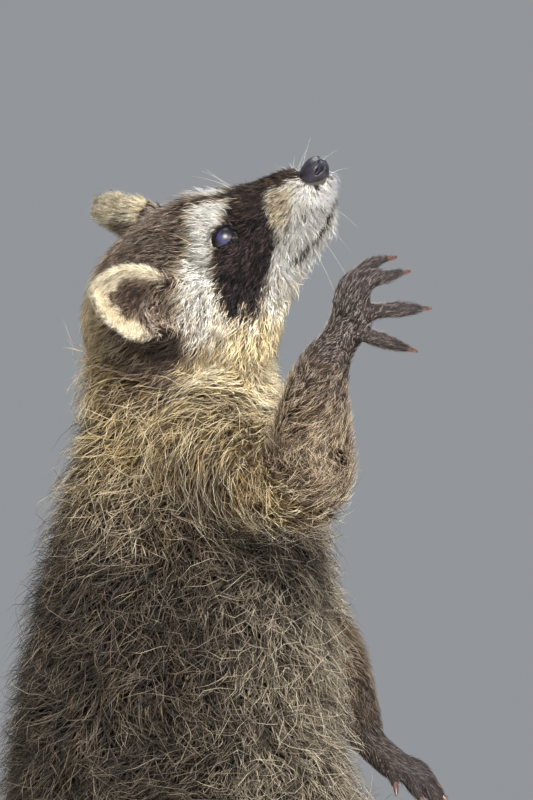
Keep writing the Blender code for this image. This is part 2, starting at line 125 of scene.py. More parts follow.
def wobble(points: np.ndarray, size: float, seed: int) -> np.ndarray:
    """Give smooth noise between about -1 and 1.

    Args:
        points: places in metres.
        size: the width of the noise's lumps in metres.
        seed: picks the noise.

    Returns:
        One value for each point.
    """
    rng = np.random.default_rng(seed)
    total = np.zeros(len(points))
    for _ in range(7):
        wave = unit(rng.normal(size=3)) * 2 * math.pi / (size * rng.uniform(1.4, 3.0))
        total += np.sin(points @ wave + rng.uniform(0, 2 * math.pi))
    return total / 3.2


def centre_of(node: str) -> np.ndarray:
    """Return the middle of a node's box in metres."""
    low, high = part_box(node)
    return np.array((low + high) / 2)


def kind_of(node: str) -> str:
    """Return a node's name without its side."""
    return node.replace("_left", "").replace("_right", "")


def tree_of(points: np.ndarray) -> KDTree:
    """Return a search tree of places, numbered in their order."""
    tree = KDTree(len(points))
    for index, point in enumerate(points.tolist()):
        tree.insert(point, index)
    tree.balance()
    return tree


def nearest_in(tree: KDTree, places: np.ndarray) -> np.ndarray:
    """Return the number of the tree's place that lies nearest to each of some places."""
    find = tree.find
    return np.fromiter((find(p)[1] for p in places.tolist()), dtype=np.int64, count=len(places))


def joined(pieces: list[tuple[np.ndarray, np.ndarray]]) -> tuple[np.ndarray, np.ndarray]:
    """Join pieces, each of points and triangles, into one set of both."""
    starts = np.cumsum([0] + [len(points) for points, _ in pieces[:-1]])
    return (np.vstack([points for points, _ in pieces]),
            np.vstack([faces + start for (_, faces), start in zip(pieces, starts)]))


def mesh_arrays(mesh: bpy.types.Mesh) -> tuple[np.ndarray, np.ndarray]:
    """Read a mesh's points and triangles as arrays."""
    mesh.calc_loop_triangles()
    points = np.empty(len(mesh.vertices) * 3)
    mesh.vertices.foreach_get("co", points)
    faces = np.empty(len(mesh.loop_triangles) * 3, dtype=np.int32)
    mesh.loop_triangles.foreach_get("vertices", faces)
    return points.reshape(-1, 3), faces.reshape(-1, 3)


def make_mesh(name: str, points: np.ndarray, faces: np.ndarray) -> bpy.types.Mesh:
    """Make a smooth-shaded triangle mesh from arrays."""
    mesh = bpy.data.meshes.new(name)
    mesh.vertices.add(len(points))
    mesh.vertices.foreach_set("co", points.astype(np.float32).ravel())
    mesh.loops.add(len(faces) * 3)
    mesh.loops.foreach_set("vertex_index", faces.astype(np.int32).ravel())
    mesh.polygons.add(len(faces))
    mesh.polygons.foreach_set("loop_start", np.arange(0, len(faces) * 3, 3, dtype=np.int32))
    mesh.polygons.foreach_set("use_smooth", np.ones(len(faces), dtype=bool))
    mesh.update(calc_edges=True)
    return mesh


def make_object(name: str, mesh: bpy.types.Mesh, material: bpy.types.Material | None = None,
                place: Matrix | None = None) -> bpy.types.Object:
    """Put a mesh into the scene as an object.

    Args:
        name: the object's name.
        mesh: its mesh.
        material: its finish.
        place: its matrix, or None for the origin.

    Returns:
        The object.
    """
    thing = bpy.data.objects.new(name, mesh)
    bpy.context.scene.collection.objects.link(thing)
    if place is not None:
        thing.matrix_world = place
    if material is not None:
        mesh.materials.append(material)
    return thing


def tint(mesh: bpy.types.Mesh, colours: np.ndarray) -> None:
    """Give each point of a mesh its own linear colour, which the finishes read as its tone."""
    tone = mesh.attributes.new("tone", "FLOAT_COLOR", "POINT")
    tone.data.foreach_set("color", colours.ravel())


def vertex_normals(points: np.ndarray, faces: np.ndarray) -> np.ndarray:
    """Return each vertex's normal, weighted by the area of its faces."""
    a, b, c = (points[faces[:, i]] for i in range(3))
    across = np.cross(b - a, c - a)
    normals = np.zeros_like(points)
    for axis in range(3):
        for corner in range(3):
            normals[:, axis] += np.bincount(faces[:, corner], across[:, axis], len(points))
    return unit(normals)


def edge_pairs(faces: np.ndarray) -> np.ndarray:
    """Return the edges of a triangle mesh, each once."""
    pairs = np.sort(np.concatenate([faces[:, [0, 1]], faces[:, [1, 2]], faces[:, [2, 0]]]), axis=1)
    codes = np.unique(pairs[:, 0].astype(np.int64) << 32 | pairs[:, 1])
    return np.stack([codes >> 32, codes & 0xFFFFFFFF], axis=1).astype(np.int32)


def spread(values: np.ndarray, edges: np.ndarray, rounds: int, share: float = 0.5) -> np.ndarray:
    """Even values out over a mesh by averaging each with its neighbours.

    Args:
        values: one value or vector for each vertex.
        edges: the mesh's edges.
        rounds: how many times to average.
        share: how far each round goes towards the neighbours' mean.

    Returns:
        The evened values.
    """
    flat = values.reshape(len(values), -1).copy()
    start, end = edges[:, 0], edges[:, 1]
    count = np.bincount(start, minlength=len(flat)) + np.bincount(end, minlength=len(flat))
    count = np.maximum(count, 1)
    for _ in range(rounds):
        for column in range(flat.shape[1]):
            line = flat[:, column]
            total = np.bincount(start, line[end], len(line)) + np.bincount(end, line[start], len(line))
            flat[:, column] = line + share * (total / count - line)
    return flat.reshape(values.shape)


def line_distance(points: np.ndarray, line: np.ndarray) -> np.ndarray:
    """Return each point's distance from an open line of straight runs, in any dimension."""
    best = np.full(len(points), np.inf)
    for start, end in zip(line[:-1], line[1:]):
        run = end - start
        share = np.clip((points - start) @ run / max(run @ run, 1e-12), 0, 1)
        best = np.minimum(best, np.linalg.norm(points - start - share[:, None] * run, axis=1))
    return best


def outline_depth(points: np.ndarray, outline: np.ndarray) -> np.ndarray:
    """Return how deep each flat point lies inside a closed outline, negative outside."""
    closed = np.vstack([outline, outline[:1]])
    inside = np.zeros(len(points), dtype=bool)
    for (x0, y0), (x1, y1) in zip(closed[:-1], closed[1:]):
        if y0 == y1:
            continue
        crosses = (y0 > points[:, 1]) != (y1 > points[:, 1])
        at = x0 + (points[:, 1] - y0) * (x1 - x0) / (y1 - y0)
        inside ^= crosses & (points[:, 0] < at)
    away = line_distance(points, closed)
    return np.where(inside, away, -away)


# ---------------------------------------------------------------- finishes

def blank_material(name: str) -> tuple[bpy.types.Material, bpy.types.NodeTree]:
    """Make a material with an empty tree of nodes, and return both."""
    material = bpy.data.materials.new(name)
    material.use_nodes = True
    material.node_tree.nodes.clear()
    return material, material.node_tree


@dataclass(frozen=True)
class FurFinish:
    """Keratin hair, grown: each lock takes its own tone, dark at the root and pale at the tip."""

    name: str
    roughness: float = 0.58  # scaly cuticle: a broad soft gloss
    gloss: float = 0.32
    patch: float = 7.0  # mm, how wide the coat's patches of lighter and darker hair are
    contrast: float = 0.16

    def build(self) -> bpy.types.Material:
        """Return the material."""
        material, tree = blank_material(self.name)
        tone = add_node(tree, "ShaderNodeAttribute", {"attribute_name": "tone"})
        place = add_node(tree, "ShaderNodeTexCoord")
        noise = add_node(tree, "ShaderNodeTexNoise", None,
                         {"Scale": 1 / (self.patch * MM), "Detail": 3.0, "Roughness": 0.6},
                         {"Vector": place.outputs["Object"]})
        level = add_node(tree, "ShaderNodeMapRange", None,
                         {"From Min": 0.3, "From Max": 0.7,
                          "To Min": 1 - self.contrast, "To Max": 1 + self.contrast},
                         {"Value": noise.outputs["Fac"]})
        varied = add_node(tree, "ShaderNodeHueSaturation", None, None,
                          {"Color": tone.outputs["Color"], "Value": level.outputs["Result"]})
        shader = add_node(tree, "ShaderNodeBsdfPrincipled", None,
                          {"Roughness": self.roughness, "Specular IOR Level": self.gloss, "IOR": 1.55},
                          {"Base Color": varied.outputs["Color"]})
        add_node(tree, "ShaderNodeOutputMaterial", None, None, {"Surface": shader.outputs["BSDF"]})
        return material


@dataclass(frozen=True)
class HideFinish:
    """Skin under the coat: soft and matt, with the coat's markings and a bump of short hair."""

    name: str = "hide_skin"
    roughness: float = 0.72
    hair: float = 0.55  # mm, spacing of the short hair that is drawn as bump
    crease: float = 2.2  # mm, spacing of the skin's creases

    def build(self) -> bpy.types.Material:
        """Return the material."""
        material, tree = blank_material(self.name)
        tone = add_node(tree, "ShaderNodeAttribute", {"attribute_name": "tone"})
        place = add_node(tree, "ShaderNodeTexCoord")
        fine = add_node(tree, "ShaderNodeTexNoise", None,
                        {"Scale": 1 / (self.hair * MM), "Detail": 2.0},
                        {"Vector": place.outputs["Object"]})
        cells = add_node(tree, "ShaderNodeTexVoronoi", {"feature": "DISTANCE_TO_EDGE"},
                         {"Scale": 1 / (self.crease * MM)}, {"Vector": place.outputs["Object"]})
        level = add_node(tree, "ShaderNodeMapRange", None,
                         {"From Min": 0.3, "From Max": 0.7, "To Min": 0.78, "To Max": 1.15},
                         {"Value": fine.outputs["Fac"]})
        varied = add_node(tree, "ShaderNodeHueSaturation", None, None,
                          {"Color": tone.outputs["Color"], "Value": level.outputs["Result"]})
        hair_bump = add_node(tree, "ShaderNodeBump", None, {"Strength": 0.6, "Distance": 0.0003},
                             {"Height": fine.outputs["Fac"]})
        bump = add_node(tree, "ShaderNodeBump", None, {"Strength": 0.35, "Distance": 0.0004},
                        {"Height": cells.outputs["Distance"], "Normal": hair_bump.outputs["Normal"]})
        shader = add_node(tree, "ShaderNodeBsdfPrincipled", None,
                          {"Roughness": self.roughness, "Specular IOR Level": 0.1, "IOR": 1.4},
                          {"Base Color": varied.outputs["Color"], "Normal": bump.outputs["Normal"]})
        add_node(tree, "ShaderNodeOutputMaterial", None, None, {"Surface": shader.outputs["BSDF"]})
        return material


@dataclass(frozen=True)
class HornFinish:
    """Claw horn, grown in layers: brown, paler along the blade, with a low polish from wear."""

    name: str = "claw_horn"
    dark: str = "#2A1813"
    pale: str = "#6E4B3F"
    roughness: float = 0.34
    layer: float = 0.9  # mm, spacing of the growth lines

    def build(self) -> bpy.types.Material:
        """Return the material."""
        material, tree = blank_material(self.name)
        place = add_node(tree, "ShaderNodeTexCoord")
        streaks = add_node(tree, "ShaderNodeTexNoise", None,
                           {"Scale": 1 / (4 * self.layer * MM), "Detail": 4.0, "Distortion": 0.4},
                           {"Vector": place.outputs["Object"]})
        lines = add_node(tree, "ShaderNodeTexNoise", None,
                         {"Scale": 1 / (self.layer * MM), "Detail": 2.0},
                         {"Vector": place.outputs["Object"]})
        colour = add_node(tree, "ShaderNodeValToRGB", None, None, {"Fac": streaks.outputs["Fac"]})
        colour.color_ramp.elements[0].position = 0.36
        colour.color_ramp.elements[0].color = rgba(self.dark)
        colour.color_ramp.elements[1].position = 0.72
        colour.color_ramp.elements[1].color = rgba(self.pale)
        bump = add_node(tree, "ShaderNodeBump", None, {"Strength": 0.3, "Distance": 0.0002},
                        {"Height": lines.outputs["Fac"]})
        shader = add_node(tree, "ShaderNodeBsdfPrincipled", None,
                          {"Roughness": self.roughness, "IOR": 1.55, "Coat Weight": 0.25,
                           "Coat Roughness": 0.2},
                          {"Base Color": colour.outputs["Color"], "Normal": bump.outputs["Normal"]})
        add_node(tree, "ShaderNodeOutputMaterial", None, None, {"Surface": shader.outputs["BSDF"]})
        return material


@dataclass(frozen=True)
class NoseFinish:
    """Rhinarium: bare pebbled skin, near black and damp, so its highlights are small and sharp."""

    name: str = "nose_leather"
    dark: str = "#070609"
    # the skin's paler patches: real mottling, tinted violet-blue as a painted sheen
    pale: str = "#242231"
    pebble: float = 0.75  # mm
    roughness: float = 0.48

    def build(self) -> bpy.types.Material:
        """Return the material."""
        material, tree = blank_material(self.name)
        place = add_node(tree, "ShaderNodeTexCoord")
        cells = add_node(tree, "ShaderNodeTexVoronoi", None, {"Scale": 1 / (self.pebble * MM)},
                         {"Vector": place.outputs["Object"]})
        noise = add_node(tree, "ShaderNodeTexNoise", None, {"Scale": 1 / (3 * MM), "Detail": 3.0},
                         {"Vector": place.outputs["Object"]})
        colour = add_node(tree, "ShaderNodeValToRGB", None, None, {"Fac": noise.outputs["Fac"]})
        colour.color_ramp.elements[0].position = 0.35
        colour.color_ramp.elements[0].color = rgba(self.dark)
        colour.color_ramp.elements[1].position = 0.75
        colour.color_ramp.elements[1].color = rgba(self.pale)
        bump = add_node(tree, "ShaderNodeBump", {"invert": True}, {"Strength": 0.5, "Distance": 0.0003},
                        {"Height": cells.outputs["Distance"]})
        shader = add_node(tree, "ShaderNodeBsdfPrincipled", None,
                          {"Roughness": self.roughness, "Specular IOR Level": 0.35, "Coat Weight": 0.2,
                           "Coat Roughness": 0.22},
                          {"Base Color": colour.outputs["Color"], "Normal": bump.outputs["Normal"]})
        add_node(tree, "ShaderNodeOutputMaterial", None, None, {"Surface": shader.outputs["BSDF"]})
        return material


@dataclass(frozen=True)
class EyeFinish:
    """Eye of glass over a painted iris: black pupil, an iris whose dark violet-blue is a painted
    reflection of the sky, a soft wet gloss.
    """

    name: str = "eye_glass"
    pupil: str = "#0D0C13"
    # the iris ring's colour: violet-blue as a painted reflection of the sky
    iris: str = "#2A2849"
    white: str = "#100E14"
    pupil_radius: float = 4.1  # mm
    # mm, where the iris ring with its painted reflection ends
    iris_radius: float = 6.5
    roughness: float = 0.36

    def build(self, radius: float) -> bpy.types.Material:
        """Return the material.

        Args:
            radius: the eyeball's radius in mm.

        Returns:
            The material, whose pattern is centred on the piece's own Z axis.
        """
        material, tree = blank_material(self.name)
        place = add_node(tree, "ShaderNodeTexCoord")
        flat = add_node(tree, "ShaderNodeVectorMath", {"operation": "MULTIPLY"},
                        {1: (1 / (radius * MM), 1 / (radius * MM), 0)}, {0: place.outputs["Object"]})
        away = add_node(tree, "ShaderNodeVectorMath", {"operation": "LENGTH"}, None,
                        {0: flat.outputs["Vector"]})
        fibres = add_node(tree, "ShaderNodeTexNoise", None, {"Scale": 1 / (0.8 * MM), "Detail": 3.0},
                          {"Vector": place.outputs["Object"]})
        rays = add_node(tree, "ShaderNodeMath", {"operation": "MULTIPLY_ADD"}, {1: 0.08},
                        {0: fibres.outputs["Fac"], 2: away.outputs["Value"]})
        colour = add_node(tree, "ShaderNodeValToRGB", None, None, {"Fac": rays.outputs["Value"]})
        # the pupil, then the iris ring in its painted sky reflection, then the dark white of the eye
        stops = [(self.pupil_radius - 0.5, self.pupil), (self.pupil_radius + 0.6, self.iris),
                 (self.iris_radius - 1.2, self.iris), (self.iris_radius, self.white)]
        elements = colour.color_ramp.elements
        for _ in stops[2:]:
            elements.new(1.0)
        for element, (reach, shade) in zip(elements, stops):
            element.position = reach / radius + 0.04
            element.color = rgba(shade)
        shader = add_node(tree, "ShaderNodeBsdfPrincipled", None,
                          {"Roughness": self.roughness, "IOR": 1.4, "Coat Weight": 0.35,
                           "Coat Roughness": 0.32},
                          {"Base Color": colour.outputs["Color"]})
        add_node(tree, "ShaderNodeOutputMaterial", None, None, {"Surface": shader.outputs["BSDF"]})
        return material


@dataclass(frozen=True)
class PaintFinish:
    """Matt painted board of the studio's floor, rolled, so it shows a slight orange peel."""

    name: str = "studio_paint"
    colour: str = "#CFCCC6"
    roughness: float = 0.8

    def build(self) -> bpy.types.Material:
        """Return the material."""
        material, tree = blank_material(self.name)
        place = add_node(tree, "ShaderNodeTexCoord")
        peel = add_node(tree, "ShaderNodeTexNoise", None, {"Scale": 1 / (3 * MM), "Detail": 2.0},
                        {"Vector": place.outputs["Object"]})
        bump = add_node(tree, "ShaderNodeBump", None, {"Strength": 0.1, "Distance": 0.0002},
                        {"Height": peel.outputs["Fac"]})
        shader = add_node(tree, "ShaderNodeBsdfPrincipled", None,
                          {"Base Color": rgba(self.colour), "Roughness": self.roughness},
                          {"Normal": bump.outputs["Normal"]})
        add_node(tree, "ShaderNodeOutputMaterial", None, None, {"Surface": shader.outputs["BSDF"]})
        return material


# ---------------------------------------------------------------- the head's own axes

@dataclass
class HeadAxes:
    """The head's frame: forward along the skull, left, up, with its origin in the braincase."""

    nose_to_eyes: tuple[float, float] = (50.0, -19.0)  # mm, nose pad's centre from the eyes' middle
    eyes_at: tuple[float, float] = (30.5, 8.5)  # mm, forward and up from the origin
    forward: np.ndarray = field(init=False)
    left: np.ndarray = field(init=False)
    up: np.ndarray = field(init=False)
    origin: np.ndarray = field(init=False)

    def __post_init__(self) -> None:
        """Find the axes from the places of the eyes and the nose pad."""
        left_eye, right_eye, nose = (centre_of(n) for n in ("eye_left", "eye_right", "nose"))
        middle = (left_eye + right_eye) / 2
        self.left = unit(left_eye - right_eye)
        reach = unit(nose - middle)
        across = np.cross(reach, self.left)
        turn = math.atan2(-self.nose_to_eyes[1], self.nose_to_eyes[0])
        self.forward = math.cos(turn) * reach + math.sin(turn) * across
        self.up = -math.sin(turn) * reach + math.cos(turn) * across
        self.origin = middle - (self.eyes_at[0] * self.forward + self.eyes_at[1] * self.up) * MM

    def local(self, points: np.ndarray) -> np.ndarray:
        """Turn places in metres to mm forward, left and up."""
        away = (points - self.origin) / MM
        return np.stack([away @ self.forward, away @ self.left, away @ self.up], axis=-1)

    def world(self, places: np.ndarray) -> np.ndarray:
        """Turn mm forward, left and up to places in metres."""
        places = np.asarray(places, dtype=float)
        return self.origin + MM * self.direction(places)

    def direction(self, places: np.ndarray) -> np.ndarray:
        """Turn a direction in the head's axes to the world's."""
        places = np.asarray(places, dtype=float)
        return (places[..., 0:1] * self.forward + places[..., 1:2] * self.left
                + places[..., 2:3] * self.up)


HEAD = HeadAxes()

EYE_RADIUS = 7.6  # mm
# the eyes' gaze, which also places the iris's painted sky reflection
EYE_GAZE = {side: unit(np.array([0.91, 0.38 if side == "left" else -0.38, 0.18])) for side in SIDES}
CANTHI = {"inner": (42.4, 20.0, 9.5), "outer": (29.0, 29.5, 13.0)}  # corners of the left eye, mm
NOSE_CENTRE = (80.5, 0.0, -10.5)
NOSE_RADII = (7.8, 8.0, 6.4)
MOUTH = [(76.5, 0.0, -21.0), (73.5, 6, -25), (69, 9.5, -28), (62, 11.5, -30.5), (54, 15, -30),
         (45, 21.5, -27), (39, 25.5, -25)]  # the left half of the mouth's line
UNROLL_HEIGHT = -5.0  # mm up, where the axis that the head's side is unrolled about lies
UNROLL_MM = 38.0  # mm of the unrolled side for each radian about that axis


def unrolled(places: np.ndarray) -> np.ndarray:
    """Unroll the head's side about its forward axis, to mm along and mm around."""
    around = np.arctan2(places[:, 2] - UNROLL_HEIGHT, places[:, 1])
    return np.stack([places[:, 0], around * UNROLL_MM], axis=-1)


def from_mouth(places: np.ndarray) -> np.ndarray:
    """Return the distance in mm from the mouth's line, over the unrolled side of the head."""
    sides = places * (1, 0, 1) + np.abs(places) * (0, 1, 0)
    return line_distance(unrolled(sides), unrolled(np.array(MOUTH, dtype=float)))


# ---------------------------------------------------------------- the hide

@dataclass
class Hide:
    """The one skin: fused from the parts of the flesh, pressed in by the coat's depth, sculpted."""

    grain: float = 1.5  # mm, size of the voxels that fuse the parts
    overlap: float = 0.6  # mm, how far each part swells so that the thin cuts close
    backing: dict[str, float] = field(default_factory=lambda: {
        "eye_left": -0.6, "eye_right": -0.6, "nose": -1.2})  # mm that skin lies under eyes and nose
    even_rounds: int = 22
    body_share: float = 0.16  # share of the body's triangles that is kept
    digit_swell: float = 1.6  # mm that the digits' skin stands out, which makes up for their thin fur
    coat_depth: dict[str, float] = field(default_factory=lambda: {
        "head": 6.0, "neck": 17.0, "trunk": 19.0, "tail": 20.0, "ear": 1.3, "upper_arm": 11.0,
        "forearm": 5.5, "forepaw": 1.5, "leg": 13.0, "hindpaw": 1.5})
    points: np.ndarray = field(init=False)
    faces: np.ndarray = field(init=False)
    outer: np.ndarray = field(init=False)
    part: np.ndarray = field(init=False)
    depth: np.ndarray = field(init=False)
    normals: np.ndarray = field(init=False)
    edges: np.ndarray = field(init=False)
    lid_edge: np.ndarray = field(init=False)  # mm outside the opening of the nearer eye

    def build(self) -> None:
        """Make the hide's surface and all that the coat reads from it."""
        self.fuse()
        log.info("hide fused: %d triangles", len(self.faces))
        self.refine_face()
        self.outer = self.points.copy()
        self.edges = edge_pairs(self.faces)
        self.find_parts()
        self.press_in()
        self.sculpt_face()
        self.normals = vertex_normals(self.points, self.faces)
        log.info("hide: %d triangles", len(self.faces))

    def fuse(self) -> None:
        """Join the parts of the flesh into one closed surface without the cuts between them."""
        swell = {name: self.overlap for name in FLESH} | self.backing
        pieces = [self.swollen(name, amount) for name, amount in swell.items()]
        pieces += [self.claw_root(claw) for claw in CLAWS]
        thing = make_object("flesh", make_mesh("flesh", *joined(pieces)))
        remesh = thing.modifiers.new("fuse", "REMESH")
        remesh.mode = "VOXEL"
        remesh.voxel_size = self.grain * MM
        points, self.faces = self.largest(*mesh_arrays(self.evaluated(thing)))
        self.points = self.even(points, edge_pairs(self.faces), self.even_rounds)
        bpy.data.objects.remove(thing)
        self.thin_body()

    @staticmethod
    def swollen(name: str, amount: float) -> tuple[np.ndarray, np.ndarray]:
        """Return a node's points and triangles, joined where they meet and moved out by some mm."""
        points, faces = mesh_arrays(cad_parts[name].data)
        _, first, back = np.unique(np.round(points / 1e-6), axis=0, return_index=True,
                                   return_inverse=True)
        points, faces = points[first], back.reshape(-1)[faces]
        faces = faces[(faces[:, 0] != faces[:, 1]) & (faces[:, 1] != faces[:, 2])
                      & (faces[:, 2] != faces[:, 0])]
        return points + vertex_normals(points, faces) * amount * MM, faces

    @staticmethod
    def evaluated(thing: bpy.types.Object) -> bpy.types.Mesh:
        """Return a copy of an object's mesh with its modifiers applied."""
        graph = bpy.context.evaluated_depsgraph_get()
        return bpy.data.meshes.new_from_object(thing.evaluated_get(graph))

    @staticmethod
    def claw_root(claw: str) -> tuple[np.ndarray, np.ndarray]:
        """Return a ball that fills the socket of a claw in its digit."""
        paw = claw.removeprefix("claw_")[:-2]  # a claw's name ends with its digit's number
        tree = tree_of(mesh_arrays(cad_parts[paw].data)[0])
        points, _ = mesh_arrays(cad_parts[claw].data)
        away = np.array([tree.find(p)[2] for p in points.tolist()])
        buried = points[away <= np.quantile(away, 0.35)]
        middle = buried.mean(axis=0)
        radius = max(np.linalg.norm(buried - middle, axis=1).mean(), 1.4 * MM)
        ball = bmesh.new()
        bmesh.ops.create_icosphere(ball, subdivisions=2, radius=min(radius, 2.4 * MM))
        corners = np.array([v.co[:] for v in ball.verts]) + middle
        faces = np.array([[v.index for v in f.verts] for f in ball.faces])
        ball.free()
        return corners, faces

    @staticmethod
    def largest(points: np.ndarray, faces: np.ndarray) -> tuple[np.ndarray, np.ndarray]:
        """Keep the largest connected shell of a mesh."""
        label = np.arange(len(points))
        edges = edge_pairs(faces)
        while True:
            low = np.minimum(label[edges[:, 0]], label[edges[:, 1]])
            fresh = label.copy()
            np.minimum.at(fresh, edges[:, 0], low)
            np.minimum.at(fresh, edges[:, 1], low)
            fresh = fresh[fresh]
            if np.array_equal(fresh, label):
                break
            label = fresh
        main = np.bincount(label).argmax()
        kept = label == main
        index = np.cumsum(kept) - 1
        return points[kept], index[faces[kept[faces[:, 0]]]]

    @staticmethod
    def even(points: np.ndarray, edges: np.ndarray, rounds: int) -> np.ndarray:
        """Smooth a surface without shrinking it, by a step in and a step out in turn."""
        for _ in range(rounds):
            points = spread(points, edges, 1, 0.55)
            points = spread(points, edges, 1, -0.58)
        return points

    def thin_body(self) -> None:
        """Keep fewer triangles where the coat is long, and all of them on head, ears and paws."""
        keep = np.zeros(len(self.points), dtype=bool)
        for name in FLESH:
            if not name.startswith(("head", "ear", "forepaw", "hindpaw")):
                continue
            low, high = (np.array(corner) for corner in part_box(name))
            keep |= np.all((self.points > low - 3 * MM) & (self.points < high + 3 * MM), axis=1)
        thing = make_object("hide", make_mesh("hide", self.points, self.faces))
        group = thing.vertex_groups.new(name="body")
        group.add(np.flatnonzero(~keep).tolist(), 1.0, "REPLACE")
        thin = thing.modifiers.new("thin", "DECIMATE")
        inside = (~keep)[self.faces].all(axis=1).mean()
        thin.ratio = 1 - inside * (1 - self.body_share)
        thin.vertex_group = "body"
        thin.use_collapse_triangulate = True
        self.points, self.faces = mesh_arrays(self.evaluated(thing))
        bpy.data.objects.remove(thing)

    def refine_face(self) -> None:
        """Split the mesh finer round the eyes and along the mouth, where the folds are small."""
        mesh = make_mesh("hide", self.points, self.faces)
        build = bmesh.new()
        build.from_mesh(mesh)
        mouth = self.mouth_line()
        for reach in (13.5, 11.5):
            places = HEAD.local(np.array([v.co[:] for v in build.verts]))
            near = np.zeros(len(places), dtype=bool)
            for side in SIDES:
                near |= np.linalg.norm(places - self.eye_place(side), axis=1) < reach
            if reach > 12:
                near |= line_distance(places, mouth) < 4
                near |= np.linalg.norm(places - np.array(NOSE_CENTRE), axis=1) < 14
            build.verts.ensure_lookup_table()
            chosen = [e for e in build.edges if near[e.verts[0].index] and near[e.verts[1].index]]
            bmesh.ops.subdivide_edges(build, edges=chosen, cuts=1, use_grid_fill=True, smooth=0.0)
            bmesh.ops.triangulate(build, faces=build.faces[:])
            build.verts.index_update()
        build.to_mesh(mesh)
        build.free()
        self.points, self.faces = mesh_arrays(mesh)

    @staticmethod
    def eye_place(side: str) -> np.ndarray:
        """Return an eyeball's centre in the head's axes, in mm."""
        return HEAD.local(centre_of(f"eye_{side}"))

    @staticmethod
    def mouth_line() -> np.ndarray:
        """Return the mouth's line from corner to corner."""
        left = np.array(MOUTH, dtype=float)
        right = left[::-1] * (1, -1, 1)
        return np.vstack([right, [(76.0, 0, -20.5)], left])

    def find_parts(self) -> None:
        """Note which part of the flesh each point belongs to."""
        pieces = [mesh_arrays(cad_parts[name].data) for name in FLESH]
        owner = np.repeat(np.arange(len(FLESH)), [len(faces) for _, faces in pieces])
        tree = BVHTree.FromPolygons(*(rows.tolist() for rows in joined(pieces)))
        self.part = owner[[tree.find_nearest(p)[2] for p in self.outer.tolist()]]

    def face_depth(self) -> np.ndarray:
        """Return the coat's depth over the head in mm, short on the muzzle and long on the cheeks."""
        f, side, up = HEAD.local(self.outer).T
        side = np.abs(side)
        depth = 2.6 + 1.6 * ramp(f, 62, 40) + 3.0 * ramp(f, 34, 8) + 2.4 * ramp(f, 10, -25)
        ruff = ramp(f, 36, 12) * ramp(up, 8, -22)
        depth += 7.5 * ruff
        eye = np.minimum.reduce([np.linalg.norm(HEAD.local(self.outer) - self.eye_place(s), axis=1)
                                 for s in SIDES])
        return depth * (0.45 + 0.55 * ramp(eye, 9, 22))

    def press_in(self) -> None:
        """Move the surface in by the coat's depth, less where the flesh is thin."""
        depth = np.array([self.coat_depth[kind_of(name)] for name in FLESH])[self.part]
        on_head = self.part == FLESH.index("head")
        depth = np.where(on_head, self.face_depth(), depth)
        for side in SIDES:
            near = np.linalg.norm(self.outer - centre_of(f"forepaw_{side}"), axis=1)
            on_arm = self.part == FLESH.index(f"forearm_{side}")
            depth = np.where(on_arm, depth * (0.4 + 1.6 * ramp(near, 0.035, 0.1)), depth)
        normals = vertex_normals(self.outer, self.faces)
        short = np.isin(self.part, [FLESH.index(n) for n in FLESH if "paw" in n or "ear_" in n])
        fixed = short | (on_head & (depth < 5))
        blended = spread(depth, self.edges, 26)
        depth = np.where(fixed, 0.7 * depth + 0.3 * blended, blended)
        depth = spread(depth, self.edges, 6)
        tree = BVHTree.FromPolygons(self.outer.tolist(), self.faces.tolist())
        starts = (self.outer - normals * 0.4 * MM).tolist()
        through = np.array([tree.ray_cast(p, (-n[0], -n[1], -n[2]), 0.3)[3] or 0.3
                            for p, n in zip(starts, normals.tolist())]) / MM
        depth = np.minimum(depth, 0.30 * through)
        floor = ramp(self.outer[:, 2], 7 * MM, 1 * MM) * ramp(-normals[:, 2], 0.5, 0.95)
        depth = depth * (1 - floor) + 0.8 * floor
        self.depth = spread(depth, self.edges, 4)
        inward = unit(spread(normals, self.edges, 8))
        self.points = self.outer - inward * self.depth[:, None] * MM
        on_paw = np.isin(self.part, [FLESH.index(n) for n in FLESH if "paw" in n])
        swell = self.digit_swell * on_paw * ramp(through, 13, 9) * ramp(self.outer[:, 2], 3 * MM, 9 * MM)
        claws = np.array([self.claw_root(claw)[0].mean(axis=0) for claw in CLAWS])
        far = np.min(np.linalg.norm(self.outer[:, None] - claws[None], axis=2), axis=1)
        swell *= 0.35 + 0.65 * ramp(far, 4 * MM, 14 * MM)
        self.points += inward * spread(swell, self.edges, 4)[:, None] * MM
        long = ramp(self.depth, 4, 9)[:, None]
        self.points += (spread(self.points, self.edges, 10) - self.points) * long

    def sculpt_face(self) -> None:
        """Shape the lids, lips, nostril wings and folds in the head's axes."""
        places = HEAD.local(self.points)
        places = self.sculpt_muzzle(places)
        self.lid_edge = np.full(len(places), 99.0)
        for side in SIDES:
            places = self.sculpt_lids(places, side)
        near = np.linalg.norm(HEAD.local(self.outer), axis=1) < 120
        self.points[near] = HEAD.world(places)[near]

    def sculpt_muzzle(self, places: np.ndarray) -> np.ndarray:
        """Press the mouth's line in and roll the lips beside it."""
        away = from_mouth(places) + 9 * ramp(places[:, 2], -12, -8)
        normals = vertex_normals(self.points, self.faces)
        inward = np.stack([normals @ HEAD.forward, normals @ HEAD.left, normals @ HEAD.up], axis=-1)
        front = ramp(places[:, 0], 38, 46)
        groove = -1.7 * np.exp(-(away / 0.9) ** 2) + 0.5 * np.exp(-((away - 2.4) / 1.2) ** 2)
        philtrum = line_distance(places, np.array([(84.0, 0, -16), (77.5, 0, -20.5)]))
        groove -= 0.7 * np.exp(-(philtrum / 0.8) ** 2)
        chin = np.linalg.norm((places - (62, 0, -32)) / (16, 14, 12), axis=1)
        swell = 3.6 * np.exp(-chin ** 2) * ramp(away + 20 * (places[:, 2] > -28), 0.5, 2.5)
        swell *= ramp(places[:, 2], -20, -27)
        return places + inward * (groove * front)[:, None] + np.array([-0.2, 0, -1]) * swell[:, None]

